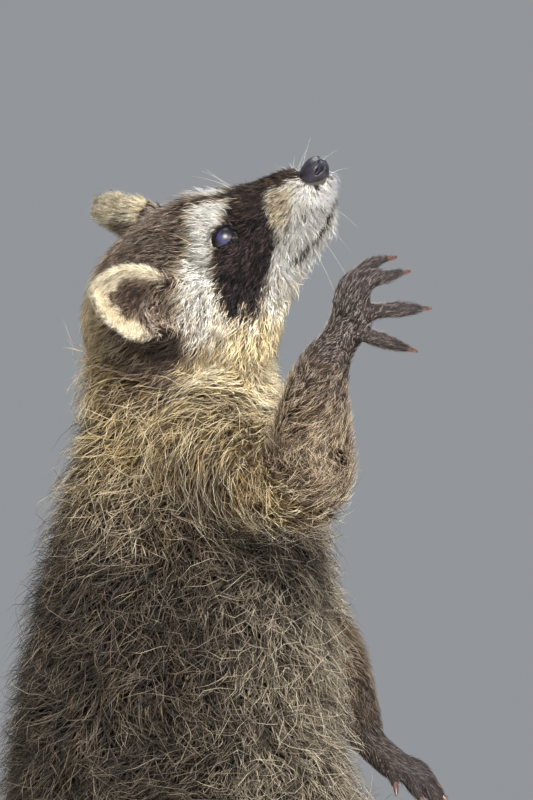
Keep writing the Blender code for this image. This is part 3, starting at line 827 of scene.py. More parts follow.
    def sculpt_lids(self, places: np.ndarray, side: str) -> np.ndarray:
        """Roll two lids over the eyeball, open along an almond, with a fold above and below.

        Args:
            places: points in the head's axes, in mm.
            side: left or right.

        Returns:
            The points with this side's lids shaped.
        """
        mirror = np.array([1, 1 if side == "left" else -1, 1])
        centre = self.eye_place(side)
        inner, outer = (np.array(CANTHI[c]) * mirror for c in ("inner", "outer"))
        away = places - centre
        reach = np.linalg.norm(away, axis=1)
        gaze = unit((inner + outer) / 2 - centre + 2.0 * EYE_GAZE[side])
        long = unit(inner - outer)
        long = unit(long - gaze * (long @ gaze))
        tall = np.cross(gaze, long) * (1 if side == "left" else -1)
        if tall[2] < 0:
            tall = -tall
        facing = away @ gaze / np.maximum(reach, 1e-6)
        along = away @ long / np.maximum(reach, 1e-6) * EYE_RADIUS
        above = away @ tall / np.maximum(reach, 1e-6) * EYE_RADIUS
        half_height = np.where(above > 0, 3.7, 3.6) * np.sqrt(np.clip(1 - (along / 6.7) ** 2, 0.02, 1))
        opening = np.abs(above) / half_height
        opening = np.where(np.abs(along) > 6.5, 1 + (np.abs(along) - 6.5) / 2 + opening * 0.2, opening)
        edge = (opening - 1) * 3.5  # roughly mm outside the lid's edge
        rim = EYE_RADIUS + 0.95
        lid = rim + 0.5 * np.exp(-((edge - 1.6) / 1.0) ** 2) - 0.45 * np.exp(-((edge - 4.0) / 1.1) ** 2)
        dive = EYE_RADIUS - 2.2
        target = np.where(edge > 0, lid, rim + (dive - rim) * ramp(edge, 0, -0.8))
        cover = ramp(edge, 9.5, 3.0) * ramp(facing, 0.1, 0.35)
        inside = ramp(edge, 0.9, 0.1) * (facing > 0.2)
        wanted = np.maximum(reach, target) * (1 - inside) + target * inside
        low = reach + (target - reach) * cover
        wanted = np.where(reach > target, low, wanted)
        wanted = np.where(facing > 0.05, wanted, reach)
        close = reach < EYE_RADIUS + 9
        self.lid_edge = np.where(close & (facing > 0.05), np.minimum(self.lid_edge, edge), self.lid_edge)
        moved = centre + away / np.maximum(reach, 1e-6)[:, None] * wanted[:, None]
        return np.where(close[:, None], moved, places)


# ---------------------------------------------------------------- the markings

@dataclass(frozen=True)
class Tone:
    """The colours of one kind of hair from root to tip."""

    # the root colours are dark partly as painted shade deep in the coat, between the hairs
    root: str
    middle: str
    tip: str
    bright: float = 1.0  # how many of the hairs have pale tips, against other places

    def linear(self) -> np.ndarray:
        """Return the three colours as rows of linear RGB."""
        return np.array([hex_linear(c) for c in (self.root, self.middle, self.tip)])


class Shade(Enum):
    """The tones of the coat, by the place where they grow."""

    BODY = Tone("#1C140D", "#685843", "#CDC3AE", 0.85)
    SHOULDER = Tone("#35261A", "#98835C", "#E2D6B6")
    # hair of the lower body: partly its own darker colour, partly painted shade over the low trunk and
    # legs
    LOW = Tone("#100C09", "#342C24", "#7E7261", 0.5)
    BELLY = Tone("#2C2620", "#7E7462", "#C9BEA8", 0.8)
    CROWN = Tone("#1A110D", "#5E4A3B", "#C8B8A8", 0.75)
    MASK = Tone("#0A0808", "#231E21", "#665250", 0.42)
    TAN = Tone("#4E3A26", "#BFA27A", "#F6E8C8")
    STRIPE = Tone("#17100D", "#3C302A", "#7A6552", 0.5)
    WHITE = Tone("#5E5748", "#F2EEE2", "#FFFFFA", 1.35)
    MUZZLE = Tone("#554F45", "#F6F2E9", "#FFFFFC", 1.4)
    CHEEK = Tone("#604A2C", "#E4CE9E", "#FFF6DC", 1.15)
    THROAT = Tone("#4A3D2E", "#A09276", "#E2D6BA", 0.9)
    DARK_PATCH = Tone("#150F0C", "#332722", "#5C4B42")
    EAR_RIM = Tone("#7E6C4E", "#CDBF9E", "#F6EFDC", 1.1)
    EAR_INSIDE = Tone("#2A1D17", "#5F4C3E", "#B3A08A", 0.8)
    EAR_BACK = Tone("#241B17", "#5B4C42", "#C4B49E")
    FOREARM = Tone("#1A130D", "#5F4E3B", "#AC9D86", 0.8)
    PAW = Tone("#0F0B0A", "#3E3531", "#958880", 0.8)
    DIGIT = Tone("#0E0B0B", "#3B3331", "#8A7F7B", 0.75)
    FOOT = Tone("#40362D", "#9C8F7E", "#D9CEBB")
    TAIL_PALE = Tone("#46371F", "#A8966F", "#E2D4AF")
    TAIL_DARK = Tone("#0D0A08", "#241C18", "#45382F")
    LIP = Tone("#140F0F", "#2A2222", "#4A3D3A")


SHADES = list(Shade)


@dataclass
class Markings:
    """Where each tone of the coat lies, in the head's axes and in the body's height."""

    soft: float = 2.6  # mm, how wide the edges between the tones are
    mask: list[tuple[float, float, float]] = field(default_factory=lambda: [
        (45, 8, 16), (40, 17, 17), (31, 26, 16), (29, 30, 14), (24, 35, 11), (18, 41, 5),
        (13, 45, -2), (8, 49, -9), (9, 51, -15), (14, 51, -23), (20, 47, -25), (27, 39, -22),
        (35, 32, -18), (44, 27, -15), (50, 23, -10), (55, 18, -1), (58, 13, 3), (60, 8, 6),
        (60, -4, 8), (46, -4, 17)])
    band: list[tuple[float, float, float]] = field(default_factory=lambda: [
        (31, 4, 30), (28, 13, 30), (25, 21.5, 26.5), (19, 28, 25), (13, 33, 23), (7, 39, 19),
        (2, 43, 15.5), (-5, 46, 12), (-12, 49, 8), (-16, 51, 0), (-20, 52, -6), (-12, 52, -16),
        (9, 51, -18), (8, 49, -9), (13, 45, -2), (18, 41, 5), (24, 35, 11), (29, 30, 14),
        (31, 26, 16), (40, 17, 17), (45, 8, 16), (43, 4, 19), (36, 3.5, 26)])
    tan: list[tuple[float, float, float]] = field(default_factory=lambda: [
        (60, 9, 6), (56, 15, 2), (50, 22, -6), (54, 22, -12), (60, 19, -10), (66, 15, -7), (73, 9, -4),
        (68, 8, 2)])
    stripe: list[tuple[float, float, float]] = field(default_factory=lambda: [
        (80, 0, -3), (77.7, 2.5, -4), (73, 7, -1), (69, 8, 1), (64.5, 8, 4), (61, 9, 5),
        (55, 9, 10), (47, 5, 17), (40, 3.5, 22), (36, 4, 26), (31, 5, 30), (25, 6, 34), (22, -6, 36),
        (50, -6, 14), (80, -6, -3)])
    ear_spot: tuple[float, float, float] = (-27, 48, 5)  # mm, the dark spot at an ear's lower end
    spot_from_nape: tuple[float, float, float] = (12, 4, -10)

    @staticmethod
    def inside(flat: np.ndarray, outline: list, soft: float | np.ndarray,
               grow: float = 0.0) -> np.ndarray:
        """Return 1 within an outline that grows by some mm and 0 outside it, with a soft edge."""
        corners = unrolled(np.array(outline, dtype=float))
        return ramp(outline_depth(flat, corners) + grow, -soft, soft)

    def weights(self, points: np.ndarray, part: np.ndarray, normals: np.ndarray) -> np.ndarray:
        """Return how much of each tone there is at each point.

        Args:
            points: places on the coat's outer surface, in metres.
            part: the index in FLESH of the part that each belongs to.
            normals: the hide's normals there.

        Returns:
            An array of points by tones, whose rows add up to 1.
        """
        shares = np.zeros((len(points), len(SHADES)))
        for index, name in enumerate(FLESH):
            chosen = part == index
            if not chosen.any():
                continue
            painter = getattr(self, f"paint_{kind_of(name)}")
            side = "right" if name.endswith("right") else "left"
            shares[chosen] = painter(points[chosen], normals[chosen], side)
        return shares / shares.sum(axis=1, keepdims=True)

    @staticmethod
    def over(shares: np.ndarray, shade: Shade, amount: np.ndarray) -> None:
        """Lay a tone over those already there."""
        shares *= (1 - amount)[:, None]
        shares[:, SHADES.index(shade)] += amount

    @staticmethod
    def plain(points: np.ndarray, shade: Shade) -> np.ndarray:
        """Return shares with one tone everywhere."""
        shares = np.zeros((len(points), len(SHADES)))
        shares[:, SHADES.index(shade)] = 1
        return shares

    def paint_head(self, points: np.ndarray, normals: np.ndarray, side: str) -> np.ndarray:
        """Paint crown, brow band, mask, muzzle stripe, cheeks, throat and lips."""
        places = HEAD.local(points)
        f, out, up = places[:, 0], np.abs(places[:, 1]), places[:, 2]
        rough = wobble(points, 5 * MM, 3) * 1.4 + wobble(points, 2.4 * MM, 4) * 0.8
        flat = unrolled(np.stack([f, out, up], axis=-1)) + rough[:, None]
        around = flat[:, 1]
        shares = self.plain(points, Shade.CROWN)
        self.over(shares, Shade.SHOULDER, ramp(f + rough, -30, -44))
        low = ramp(around, 4, -14)
        self.over(shares, Shade.CHEEK, low)
        throat = ramp(around, -26, -44) * ramp(f, 30, 8)
        self.over(shares, Shade.THROAT, throat)
        self.over(shares, Shade.MUZZLE, ramp(f + rough, 30, 42))
        self.over(shares, Shade.WHITE, 0.7 * ramp(f + rough, 8, 26) * ramp(around, -40, -24) * low)
        lower = ramp(around, 0, -14)
        rear = ramp(f, 16, -4)
        self.over(shares, Shade.TAN, 0.6 * self.inside(flat, self.band, 3.5 + 4 * lower, grow=2.5))
        self.over(shares, Shade.WHITE, (1 - 0.25 * rear) * self.inside(
            flat, self.band, self.soft + 0.8 + 7 * lower + 2.5 * rear, grow=-1.0))
        self.over(shares, Shade.TAN, 0.85 * self.inside(flat, self.tan, 6.0))
        self.darken_ear(shares, places)
        self.over(shares, Shade.STRIPE, self.inside(flat, self.stripe, 3.0))
        mask = self.inside(flat, self.mask, self.soft)
        self.over(shares, Shade.MASK, mask)
        self.over(shares, Shade.STRIPE, 0.55 * mask * ramp(around, 16, 34))
        self.over(shares, Shade.CHEEK, 0.5 * (1 - mask) * ramp(around, 4, -16) * ramp(f, 24, 2))
        lips = from_mouth(places) + 0.25 * rough
        lips /= 0.35 + 0.65 * ramp(f, 40, 58)
        self.over(shares, Shade.LIP, 0.97 * ramp(lips, 2.7, 1.5) * ramp(f, 38, 42) * (up < -8))
        pad = np.linalg.norm((places - np.array(NOSE_CENTRE)) / (np.array(NOSE_RADII) + 0.6), axis=1)
        self.over(shares, Shade.LIP, 0.95 * ramp(pad + 0.04 * rough, 1.5, 1.3))
        return shares

    def paint_neck(self, points: np.ndarray, normals: np.ndarray, side: str) -> np.ndarray:
        """Paint the neck: grizzled behind, paler under the throat."""
        shares = self.plain(points, Shade.SHOULDER)
        front = ramp(-normals[:, 1], -0.2, 0.5)
        self.over(shares, Shade.THROAT, 0.6 * front)
        self.darken_ear(shares, HEAD.local(points))
        return shares

    def darken_ear(self, shares: np.ndarray, places: np.ndarray) -> None:
        """Paint the brown nape behind each ear and the dark spot at its lower end."""
        rough = 3.0 * wobble(places * MM, 6 * MM, 5)
        folded = np.stack([places[:, 0], np.abs(places[:, 1]), places[:, 2]], axis=-1)
        away = folded - self.ear_spot
        nape = away + self.spot_from_nape
        self.over(shares, Shade.CROWN, 0.8 * ramp(np.linalg.norm(nape, axis=1) + 1.5 * rough, 34, 16))
        self.over(shares, Shade.DARK_PATCH, ramp(np.linalg.norm(away, axis=1) + rough, 16, 8))

    def paint_trunk(self, points: np.ndarray, normals: np.ndarray, side: str) -> np.ndarray:
        """Paint the trunk: yellowish shoulders, grizzled flanks, darker low down partly as painted
        shade, paler belly.
        """
        height = points[:, 2] + 12 * MM * wobble(points, 45 * MM, 6)
        shares = self.plain(points, Shade.BODY)
        self.over(shares, Shade.SHOULDER, ramp(height, 0.265, 0.315))
        # the lower trunk darkens: partly the hair's own colour, partly painted shade
        self.over(shares, Shade.LOW, 0.92 * ramp(height, 0.295, 0.225))
        self.over(shares, Shade.BELLY, 0.8 * ramp(-normals[:, 1], 0.45, 0.9) * ramp(height, 0.26, 0.2))
        back = ramp(normals[:, 1], 0.35, 0.85)
        self.over(shares, Shade.LOW, 0.55 * back)
        return shares

    def paint_tail(self, points: np.ndarray, normals: np.ndarray, side: str) -> np.ndarray:
        """Paint the tail: dark rings on a yellowish grey, and a dark tip."""
        start, end = self.tail_axis()
        run = end - start
        share = (points - start) @ run / (run @ run)
        share = share + 0.015 * wobble(points, 10 * MM, 7)
        rings = 5.5
        wave = np.cos(2 * math.pi * (share * rings + 0.1))
        shares = self.plain(points, Shade.TAIL_PALE)
        self.over(shares, Shade.BODY, ramp(share, 0.12, 0.0))
        self.over(shares, Shade.TAIL_DARK, ramp(wave, -0.05, 0.35) * ramp(share, 0.02, 0.12))
        self.over(shares, Shade.TAIL_DARK, ramp(share, 0.88, 0.93))
        return shares

    @staticmethod
    def tail_axis() -> tuple[np.ndarray, np.ndarray]:
        """Return the tail's two ends, where it leaves the rump and its tip."""
        low, high = (np.array(corner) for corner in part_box("tail"))
        start = np.array([high[0] - 20 * MM, low[1] + 30 * MM, (low[2] + high[2]) / 2])
        return start, np.array([low[0], high[1] - 18 * MM, 18 * MM])

    def paint_ear(self, points: np.ndarray, normals: np.ndarray, side: str) -> np.ndarray:
        """Paint an ear: pale rim, brown-grey inside, dark behind its base."""
        ear = Ear(side)
        height, across, _ = ear.local(points)
        rim = ear.rim(height, across)
        inside = normals @ ear.opening
        shares = self.plain(points, Shade.EAR_BACK)
        self.over(shares, Shade.EAR_INSIDE, ramp(inside, -0.1, 0.3))
        self.over(shares, Shade.DARK_PATCH, 0.85 * ramp(inside, 0.2, 0.6) * ramp(rim, 0.5, 0.25))
        self.over(shares, Shade.EAR_RIM, ramp(rim + 0.08 * wobble(points, 4 * MM, 9), 0.46, 0.64))
        return shares

    def paint_upper_arm(self, points: np.ndarray, normals: np.ndarray, side: str) -> np.ndarray:
        """Paint an upper arm like the shoulder."""
        shares = self.plain(points, Shade.SHOULDER)
        self.over(shares, Shade.BODY, 0.5 + 0.4 * np.clip(wobble(points, 25 * MM, 11), -1, 1))
        return shares

    def paint_forearm(self, points: np.ndarray, normals: np.ndarray, side: str) -> np.ndarray:
        """Paint a forearm: grizzled brown, greyer towards the wrist."""
        shares = self.plain(points, Shade.FOREARM)
        paw = centre_of(f"forepaw_{side}")
        near = ramp(np.linalg.norm(points - paw, axis=1), 0.062, 0.03)
        self.over(shares, Shade.PAW, 0.7 * near)
        return shares

    def paint_forepaw(self, points: np.ndarray, normals: np.ndarray, side: str) -> np.ndarray:
        """Paint a forepaw: brownish grey, with darker, bluer digits."""
        shares = self.plain(points, Shade.PAW)
        tips = self.middle_claws(f"forepaw_{side}")
        wrist = centre_of(f"forearm_{side}")
        run = tips - wrist
        share = (points - wrist) @ run / (run @ run)
        self.over(shares, Shade.DIGIT, ramp(share, 0.55, 0.8))
        return shares

    def paint_leg(self, points: np.ndarray, normals: np.ndarray, side: str) -> np.ndarray:
        """Paint a hind leg like the low flank, painted shade and all, paler towards the foot."""
        shares = self.plain(points, Shade.BODY)
        self.over(shares, Shade.LOW, 0.45 + 0.3 * ramp(points[:, 2], 0.09, 0.03))
        foot = centre_of(f"hindpaw_{side}")
        self.over(shares, Shade.FOOT, ramp(np.linalg.norm(points - foot, axis=1), 0.085, 0.042))
        return shares

    def paint_hindpaw(self, points: np.ndarray, normals: np.ndarray, side: str) -> np.ndarray:
        """Paint a hind foot: pale grey above, dark digits and sole."""
        shares = self.plain(points, Shade.FOOT)
        tips = self.middle_claws(f"hindpaw_{side}")
        self.over(shares, Shade.DIGIT, 0.8 * ramp(np.linalg.norm(points - tips, axis=1), 0.045, 0.02))
        self.over(shares, Shade.DIGIT, ramp(-normals[:, 2], 0.3, 0.7))
        return shares

    @staticmethod
    def middle_claws(paw: str) -> np.ndarray:
        """Return the mean place of the claws on a paw's three middle digits."""
        return np.array([centre_of(f"claw_{paw}_{digit}") for digit in range(2, 5)]).mean(axis=0)


@dataclass
class Ear:
    """An ear's own axes: up its length, across it, and out of its opening."""

    side: str
    base: tuple[float, float, float] = (-10, 42, 17)
    axis: tuple[float, float, float] = (-0.04, 0.40, 0.91)
    faces: tuple[float, float, float] = (0.50, 0.84, -0.10)
    length: float = 45.0  # mm
    half_width: float = 18.0
    laid_back: float = 30.0  # degrees, of the left ear only
    rise: np.ndarray = field(init=False)
    opening: np.ndarray = field(init=False)
    across: np.ndarray = field(init=False)
    foot: np.ndarray = field(init=False)

    def __post_init__(self) -> None:
        """Turn the axes to this side and to the world."""
        mirror = np.array([1, 1 if self.side == "left" else -1, 1])
        turn = math.radians(self.laid_back) if self.side == "left" else 0.0
        back = np.array([[math.cos(turn), 0, -math.sin(turn)], [0, 1, 0],
                         [math.sin(turn), 0, math.cos(turn)]])
        self.foot = HEAD.world(np.array(self.base) * mirror)
        self.rise = unit(HEAD.direction(back @ np.array(self.axis) * mirror))
        self.opening = HEAD.direction(back @ np.array(self.faces) * mirror)
        self.opening = unit(self.opening - self.rise * (self.opening @ self.rise))
        self.across = np.cross(self.rise, self.opening)

    def local(self, points: np.ndarray) -> tuple[np.ndarray, np.ndarray, np.ndarray]:
        """Return mm up, across and out of the opening."""
        away = (points - self.foot) / MM
        return away @ self.rise, away @ self.across, away @ self.opening

    def rim(self, height: np.ndarray, across: np.ndarray) -> np.ndarray:
        """Return 1 at the ear's edge, falling to 0 at its middle."""
        middle = 0.42 * self.length
        return np.sqrt((across / self.half_width) ** 2
                       + (np.maximum(height - middle, 0) / (self.length - middle)) ** 2)


# ---------------------------------------------------------------- the lie of the coat

@dataclass
class Lie:
    """Which way the hair lies: back from the nose, along the limbs, down the trunk, round a whorl."""

    hide: Hide
    whorl: tuple[float, float, float] = (-0.0316, -0.0946, 0.306)  # m, on the right shoulder
    whorl_reach: float = 0.034  # m
    whorl_inner: float = 0.3  # share of its reach where the whorl is at its full strength
    whorl_share: float = 0.6  # how much of the lie the whorl takes over there
    whorl_turn: float = 0.2  # how much its hair turns about it, against running out of it
    limb_share: dict[str, float] = field(default_factory=lambda: {
        "upper_arm": 0.6, "forearm": 0.85, "forepaw": 0.2, "leg": 0.5, "hindpaw": 0.2, "tail": 0.5})
    trunk_share: float = 0.45  # how much of the lie away from the nose is left on neck and trunk
    hang: float = 0.7  # how strongly the hair of neck and trunk hangs
    flow: np.ndarray = field(init=False)
    tree: KDTree = field(init=False)

    def build(self) -> None:
        """Work out the direction of the hair at each point of the hide."""
        hide = self.hide
        self.tree = tree_of(hide.points)
        reach = spread(self.distance_from_nose(), hide.edges, 12)
        flow = self.gradient(reach)
        flow = self.tangent(spread(self.along_limbs(flow), hide.edges, 20))
        away = hide.points - np.array(self.whorl)
        near = ramp(np.linalg.norm(away, axis=1), self.whorl_reach, self.whorl_inner * self.whorl_reach)
        near = self.whorl_share * near[:, None]
        swirl = unit(away) + unit(np.cross(hide.normals, away)) * self.whorl_turn
        flow = self.tangent(flow * (1 - near) + swirl * near)
        self.flow = self.tangent(spread(flow, hide.edges, 3))
        log.info("lie of the coat worked out")

    def along_limbs(self, flow: np.ndarray) -> np.ndarray:
        """Turn the hair on limbs and tail towards their ends, and let the trunk's hair hang."""
        for index, name in enumerate(FLESH):
            chosen = self.hide.part == index
            amount = self.limb_share.get(kind_of(name))
            if amount:
                flow[chosen] = flow[chosen] * (1 - amount) + part_axis(name)[1] * amount
            elif name in ("neck", "trunk"):
                flow[chosen] = flow[chosen] * self.trunk_share + np.array([0, 0, -self.hang])
        return flow

    def distance_from_nose(self) -> np.ndarray:
        """Return each point's distance over the hide from the nose, in metres."""
        hide = self.hide
        lengths = np.linalg.norm(hide.outer[hide.edges[:, 0]] - hide.outer[hide.edges[:, 1]], axis=1)
        near: list[list[tuple[int, float]]] = [[] for _ in hide.points]
        for (a, b), run in zip(hide.edges.tolist(), lengths.tolist()):
            near[a].append((b, run))
            near[b].append((a, run))
        start = self.tree.find(HEAD.world(np.array(NOSE_CENTRE)))[1]
        reach = np.full(len(hide.points), np.inf)
        reach[start] = 0
        queue = [(0.0, start)]
        while queue:
            far, here = heapq.heappop(queue)
            if far > reach[here]:
                continue
            for there, run in near[here]:
                if far + run < reach[there]:
                    reach[there] = far + run
                    heapq.heappush(queue, (far + run, there))
        reach[~np.isfinite(reach)] = 0
        return reach

    def gradient(self, values: np.ndarray) -> np.ndarray:
        """Return the slope of a value over the hide at each point."""
        points, faces = self.hide.points, self.hide.faces
        a, b, c = (points[faces[:, i]] for i in range(3))
        normal = np.cross(b - a, c - a)
        area = np.maximum(np.linalg.norm(normal, axis=1), 1e-14)[:, None]
        slope = (values[faces[:, 0]][:, None] * np.cross(normal, c - b)
                 + values[faces[:, 1]][:, None] * np.cross(normal, a - c)
                 + values[faces[:, 2]][:, None] * np.cross(normal, b - a)) / area ** 2
        total = np.zeros_like(points)
        for corner in range(3):
            for axis in range(3):
                total[:, axis] += np.bincount(faces[:, corner], slope[:, axis] * area[:, 0], len(points))
        return unit(total)

    def tangent(self, vectors: np.ndarray) -> np.ndarray:
        """Lay vectors flat on the hide and make them length one."""
        normals = self.hide.normals
        return unit(vectors - normals * np.sum(vectors * normals, axis=1, keepdims=True))

    def nearest(self, points: np.ndarray) -> np.ndarray:
        """Return the index of the hide's point nearest to each place."""
        return nearest_in(self.tree, points)


# ---------------------------------------------------------------- the coat

class Cut(Enum):
    """How many rings a lock has between its root and its tip."""

    SPIKE = 0
    LOCK = 1
    HAIR = 2
    WAVE = 3


@dataclass(frozen=True)
class Layer:
    """One layer of the coat: many locks of one make on some of its parts."""

    name: str
    parts: tuple[str, ...]
    count: int
    cut: Cut
    stretch: float  # length for each mm of the coat's depth
    width: float  # mm across the root
    top: tuple[float, float] = (0.75, 1.05)  # share of the coat's depth that the tips reach
    extra: float = 0.8  # mm added to each length
    curl: float = 0.0  # mm that a hair waves from side to side
    stray: float = 10.0  # degrees that a hair strays from the lie
    swirl: float = 12.0  # degrees that whole patches turn from the lie
    clump: float = 0.3
    clump_size: int = 9
    pale: float = 0.5  # share of hairs with the tone's full tip colour
    depth_from: float = 0.0
    depth_to: float = 99.0
    slot: str = "body_coat"
    contrast: float = 0.28  # how much lighter or darker single hairs are
    base: float = 0.2  # where along root to tip the tone of a hair begins
    together: float = 0.8  # share of the hairs of a bunch that are all pale or all dark
    tallest: float = 60.0  # mm that a tip may stand off the hide


@dataclass
class Coat:
    """The coat: layers of closed three-sided locks rooted in the hide."""

    hide: Hide
    lie: Lie
    markings: Markings
    finish: bpy.types.Material
    most_triangles: int = 190000
    sink: float = 0.4  # mm that a root is buried
    flat: float = 0.55  # a lock's thickness against its width
    patch: float = 0.003  # width of a lock's place on the bake's map
    eye_trim: float = 0.5  # share of its length that a hair keeps where it would hang over an eye

    def grow(self, layer: Layer, seed: int) -> None:
        """Grow one layer and put it into the scene in pieces of a size that the export takes.

        Args:
            layer: what to grow.
            seed: the layer's own random seed.
        """
        rng = np.random.default_rng(seed)
        roots = self.roots(layer, rng)
        joints = self.paths(layer, roots, rng)
        points, faces = self.locks(layer, roots, joints)
        colours = self.colours(layer, roots, joints, rng)
        places = self.map_places(roots, layer.cut)
        sides = 4 + 6 * layer.cut.value
        per_piece = self.most_triangles // sides
        corners = 3 * (layer.cut.value + 1) + 1
        total = len(roots["face"])
        pieces = -(-total // per_piece)
        for number in range(pieces):
            first, last = total * number // pieces, total * (number + 1) // pieces
            name = f"coat_{layer.name}" + (f"_{number + 1}" if pieces > 1 else "")
            mesh = make_mesh(name, points[first * corners:last * corners],
                             faces[first * sides:last * sides] - first * corners)
            tint(mesh, colours[first * corners:last * corners])
            uv = mesh.uv_layers.new(name="OFBake")
            index = np.empty(len(mesh.loops), dtype=np.int32)
            mesh.loops.foreach_get("vertex_index", index)
            uv.data.foreach_set("uv", places[first * corners:last * corners][index]
                                .astype(np.float32).ravel())
            piece = make_object(name, mesh, self.finish)
            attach(piece, "root")
        log.info("coat %s: %d locks, %d triangles", layer.name, total, total * sides)

    def roots(self, layer: Layer, rng: np.random.Generator) -> dict[str, np.ndarray]:
        """Choose where the locks are rooted, evenly over the layer's parts.

        Args:
            layer: the layer that grows.
            rng: its random numbers.

        Returns:
            Arrays that give each root's face, shares of its corners, place and neighbours.
        """
        hide = self.hide
        a, b, c = (hide.points[hide.faces[:, i]] for i in range(3))
        area = np.linalg.norm(np.cross(b - a, c - a), axis=1)
        wanted = [FLESH.index(name) for name in FLESH if name.startswith(layer.parts)]
        corner_part = hide.part[hide.faces]
        depth = hide.depth[hide.faces].mean(axis=1)
        share = np.isin(corner_part, wanted).mean(axis=1)
        share *= ramp(depth, layer.depth_from - 0.8, layer.depth_from + 0.8) if layer.depth_from else 1
        share *= ramp(depth, layer.depth_to + 0.8, layer.depth_to - 0.8)
        share *= self.bare(hide.faces)
        crowd = (depth + 2.0) ** -0.8 if "head" in layer.parts else 1.0
        weight = np.cumsum(area * share * crowd)
        steps = (np.arange(layer.count) + rng.random(layer.count)) / layer.count
        face = np.searchsorted(weight, steps * weight[-1])
        u, v = rng.random(layer.count), rng.random(layer.count)
        over = u + v > 1
        u, v = np.where(over, 1 - u, u), np.where(over, 1 - v, v)
        shares = np.stack([1 - u - v, u, v], axis=1)
        order = rng.permutation(layer.count)
        face, shares = face[order], shares[order]
        corner = hide.faces[face]

        def mix(values: np.ndarray) -> np.ndarray:
            """Blend a value of the hide's points at each root."""
            return np.einsum("ij,ij...->i...", shares, values[corner])

        return {"face": face, "shares": shares, "corner": corner[:, 0],
                "place": mix(hide.points), "outer": mix(hide.outer), "normal": unit(mix(hide.normals)),
                "flow": unit(mix(self.lie.flow)), "depth": mix(hide.depth),
                "part": hide.part[corner[np.arange(layer.count), shares.argmax(axis=1)]]}

    def bare(self, faces: np.ndarray) -> np.ndarray:
        """Return 0 where the skin is bare: the eyes' openings, the nose pad, lips and soles."""
        places = HEAD.local(self.hide.points)
        cover = np.ones(len(places))
        cover *= self.hide.lid_edge > 0.3
        nose = (places - np.array(NOSE_CENTRE)) / (np.array(NOSE_RADII) + 0.3)
        cover *= np.linalg.norm(nose, axis=1) > 1
        cover *= 1 - 0.9 * ramp(from_mouth(places) + 9 * ramp(places[:, 2], -12, -8), 1.2, 0.6)
        under = (self.hide.points[:, 2] < 3 * MM) & (self.hide.normals[:, 2] < -0.7)
        cover *= ~under
        return cover[faces].min(axis=1)

    def paths(self, layer: Layer, roots: dict[str, np.ndarray],
              rng: np.random.Generator) -> np.ndarray:
        """Lay each lock along the hide, rising from its root to the coat's surface.

        Args:
            layer: the layer that grows.
            roots: what roots() returned.
            rng: the layer's random numbers.

        Returns:
            The locks' joints, as an array of joint, lock and coordinate.
        """
        hide, count = self.hide, len(roots["face"])
        normal, depth = roots["normal"], roots["depth"]
        place = roots["place"] - normal * self.sink * MM
        stray = np.radians(layer.stray) * rng.normal(size=count)
        stray += np.radians(layer.swirl) * (wobble(roots["place"], 0.022, 21)
                                            + 0.6 * wobble(roots["place"], 0.009, 22))
        heading = self.turned(roots["flow"], normal, stray)
        length = (depth * layer.stretch + layer.extra) * rng.uniform(0.75, 1.15, count) * MM
        top = np.minimum(depth * rng.uniform(*layer.top, count), layer.tallest) * MM
        steps = layer.cut.value + 1
        phase = rng.uniform(0, 2 * math.pi, count)
        waves = rng.uniform(0.5, 1.1, count)
        bend = layer.curl * MM * rng.normal(size=count)
        joints = [place]
        here, along = roots["place"], heading
        for step in range(1, steps + 1):
            share = step / steps
            run = length / steps * (0.55 if steps > 1 and step == 1 else 1.0)
            ahead = here + along * run[:, None]
            near = self.lie.nearest(ahead)
            same = np.sum(hide.normals[near] * normal, axis=1) > -0.1
            ground = np.where(same[:, None], hide.points[near], here)
            normal = np.where(same[:, None], hide.normals[near], normal)
            ahead = ahead - normal * np.sum((ahead - ground) * normal, axis=1, keepdims=True)
            here = ahead
            height = top * (1 - (1 - share) ** 1.7) if steps > 1 else top
            side = np.cross(normal, along)
            wave = layer.curl * MM * share * np.sin(phase + waves * 2 * math.pi * share)
            wave += bend * share ** 2
            joints.append(ahead + normal * height[:, None] + side * wave[:, None])
            turn = self.turned(self.lie.flow[near], normal, stray)
            along = unit(0.5 * along + 0.5 * turn)
            along = unit(along - normal * np.sum(along * normal, axis=1, keepdims=True))
        joints = np.stack(joints)
        if "head" in layer.parts:
            over_eye = hide.lid_edge[self.lie.nearest(joints[-1])] < -0.3
            root = joints[0, over_eye]
            joints[1:, over_eye] = root + self.eye_trim * (joints[1:, over_eye] - root)
        roots["leader"] = self.clump(layer, joints, rng)
        joints[:, :, 2] = np.maximum(joints[:, :, 2], 0.6 * MM)
        return joints

    @staticmethod
    def turned(vectors: np.ndarray, normals: np.ndarray, angle: np.ndarray) -> np.ndarray:
        """Turn vectors about the hide's normals."""
        return (vectors * np.cos(angle)[:, None]
                + np.cross(normals, vectors) * np.sin(angle)[:, None])

    @staticmethod
    def clump(layer: Layer, joints: np.ndarray, rng: np.random.Generator) -> np.ndarray:
        """Draw the locks' tips together in bunches, and return the lock that leads each."""
        count = joints.shape[1]
        if not layer.clump:
            return np.arange(count)
        leaders = rng.permutation(count)[:max(count // layer.clump_size, 1)]
        middle = joints[0] * 0.5 + joints[-1] * 0.5
        own = leaders[nearest_in(tree_of(middle[leaders]), middle)]
        pull = layer.clump * rng.uniform(0.6, 1.2, count)
        for step in range(1, len(joints)):
            share = (step / (len(joints) - 1)) ** 1.5
            joints[step] += (joints[step][own] - joints[step]) * (pull * share)[:, None]
        return own

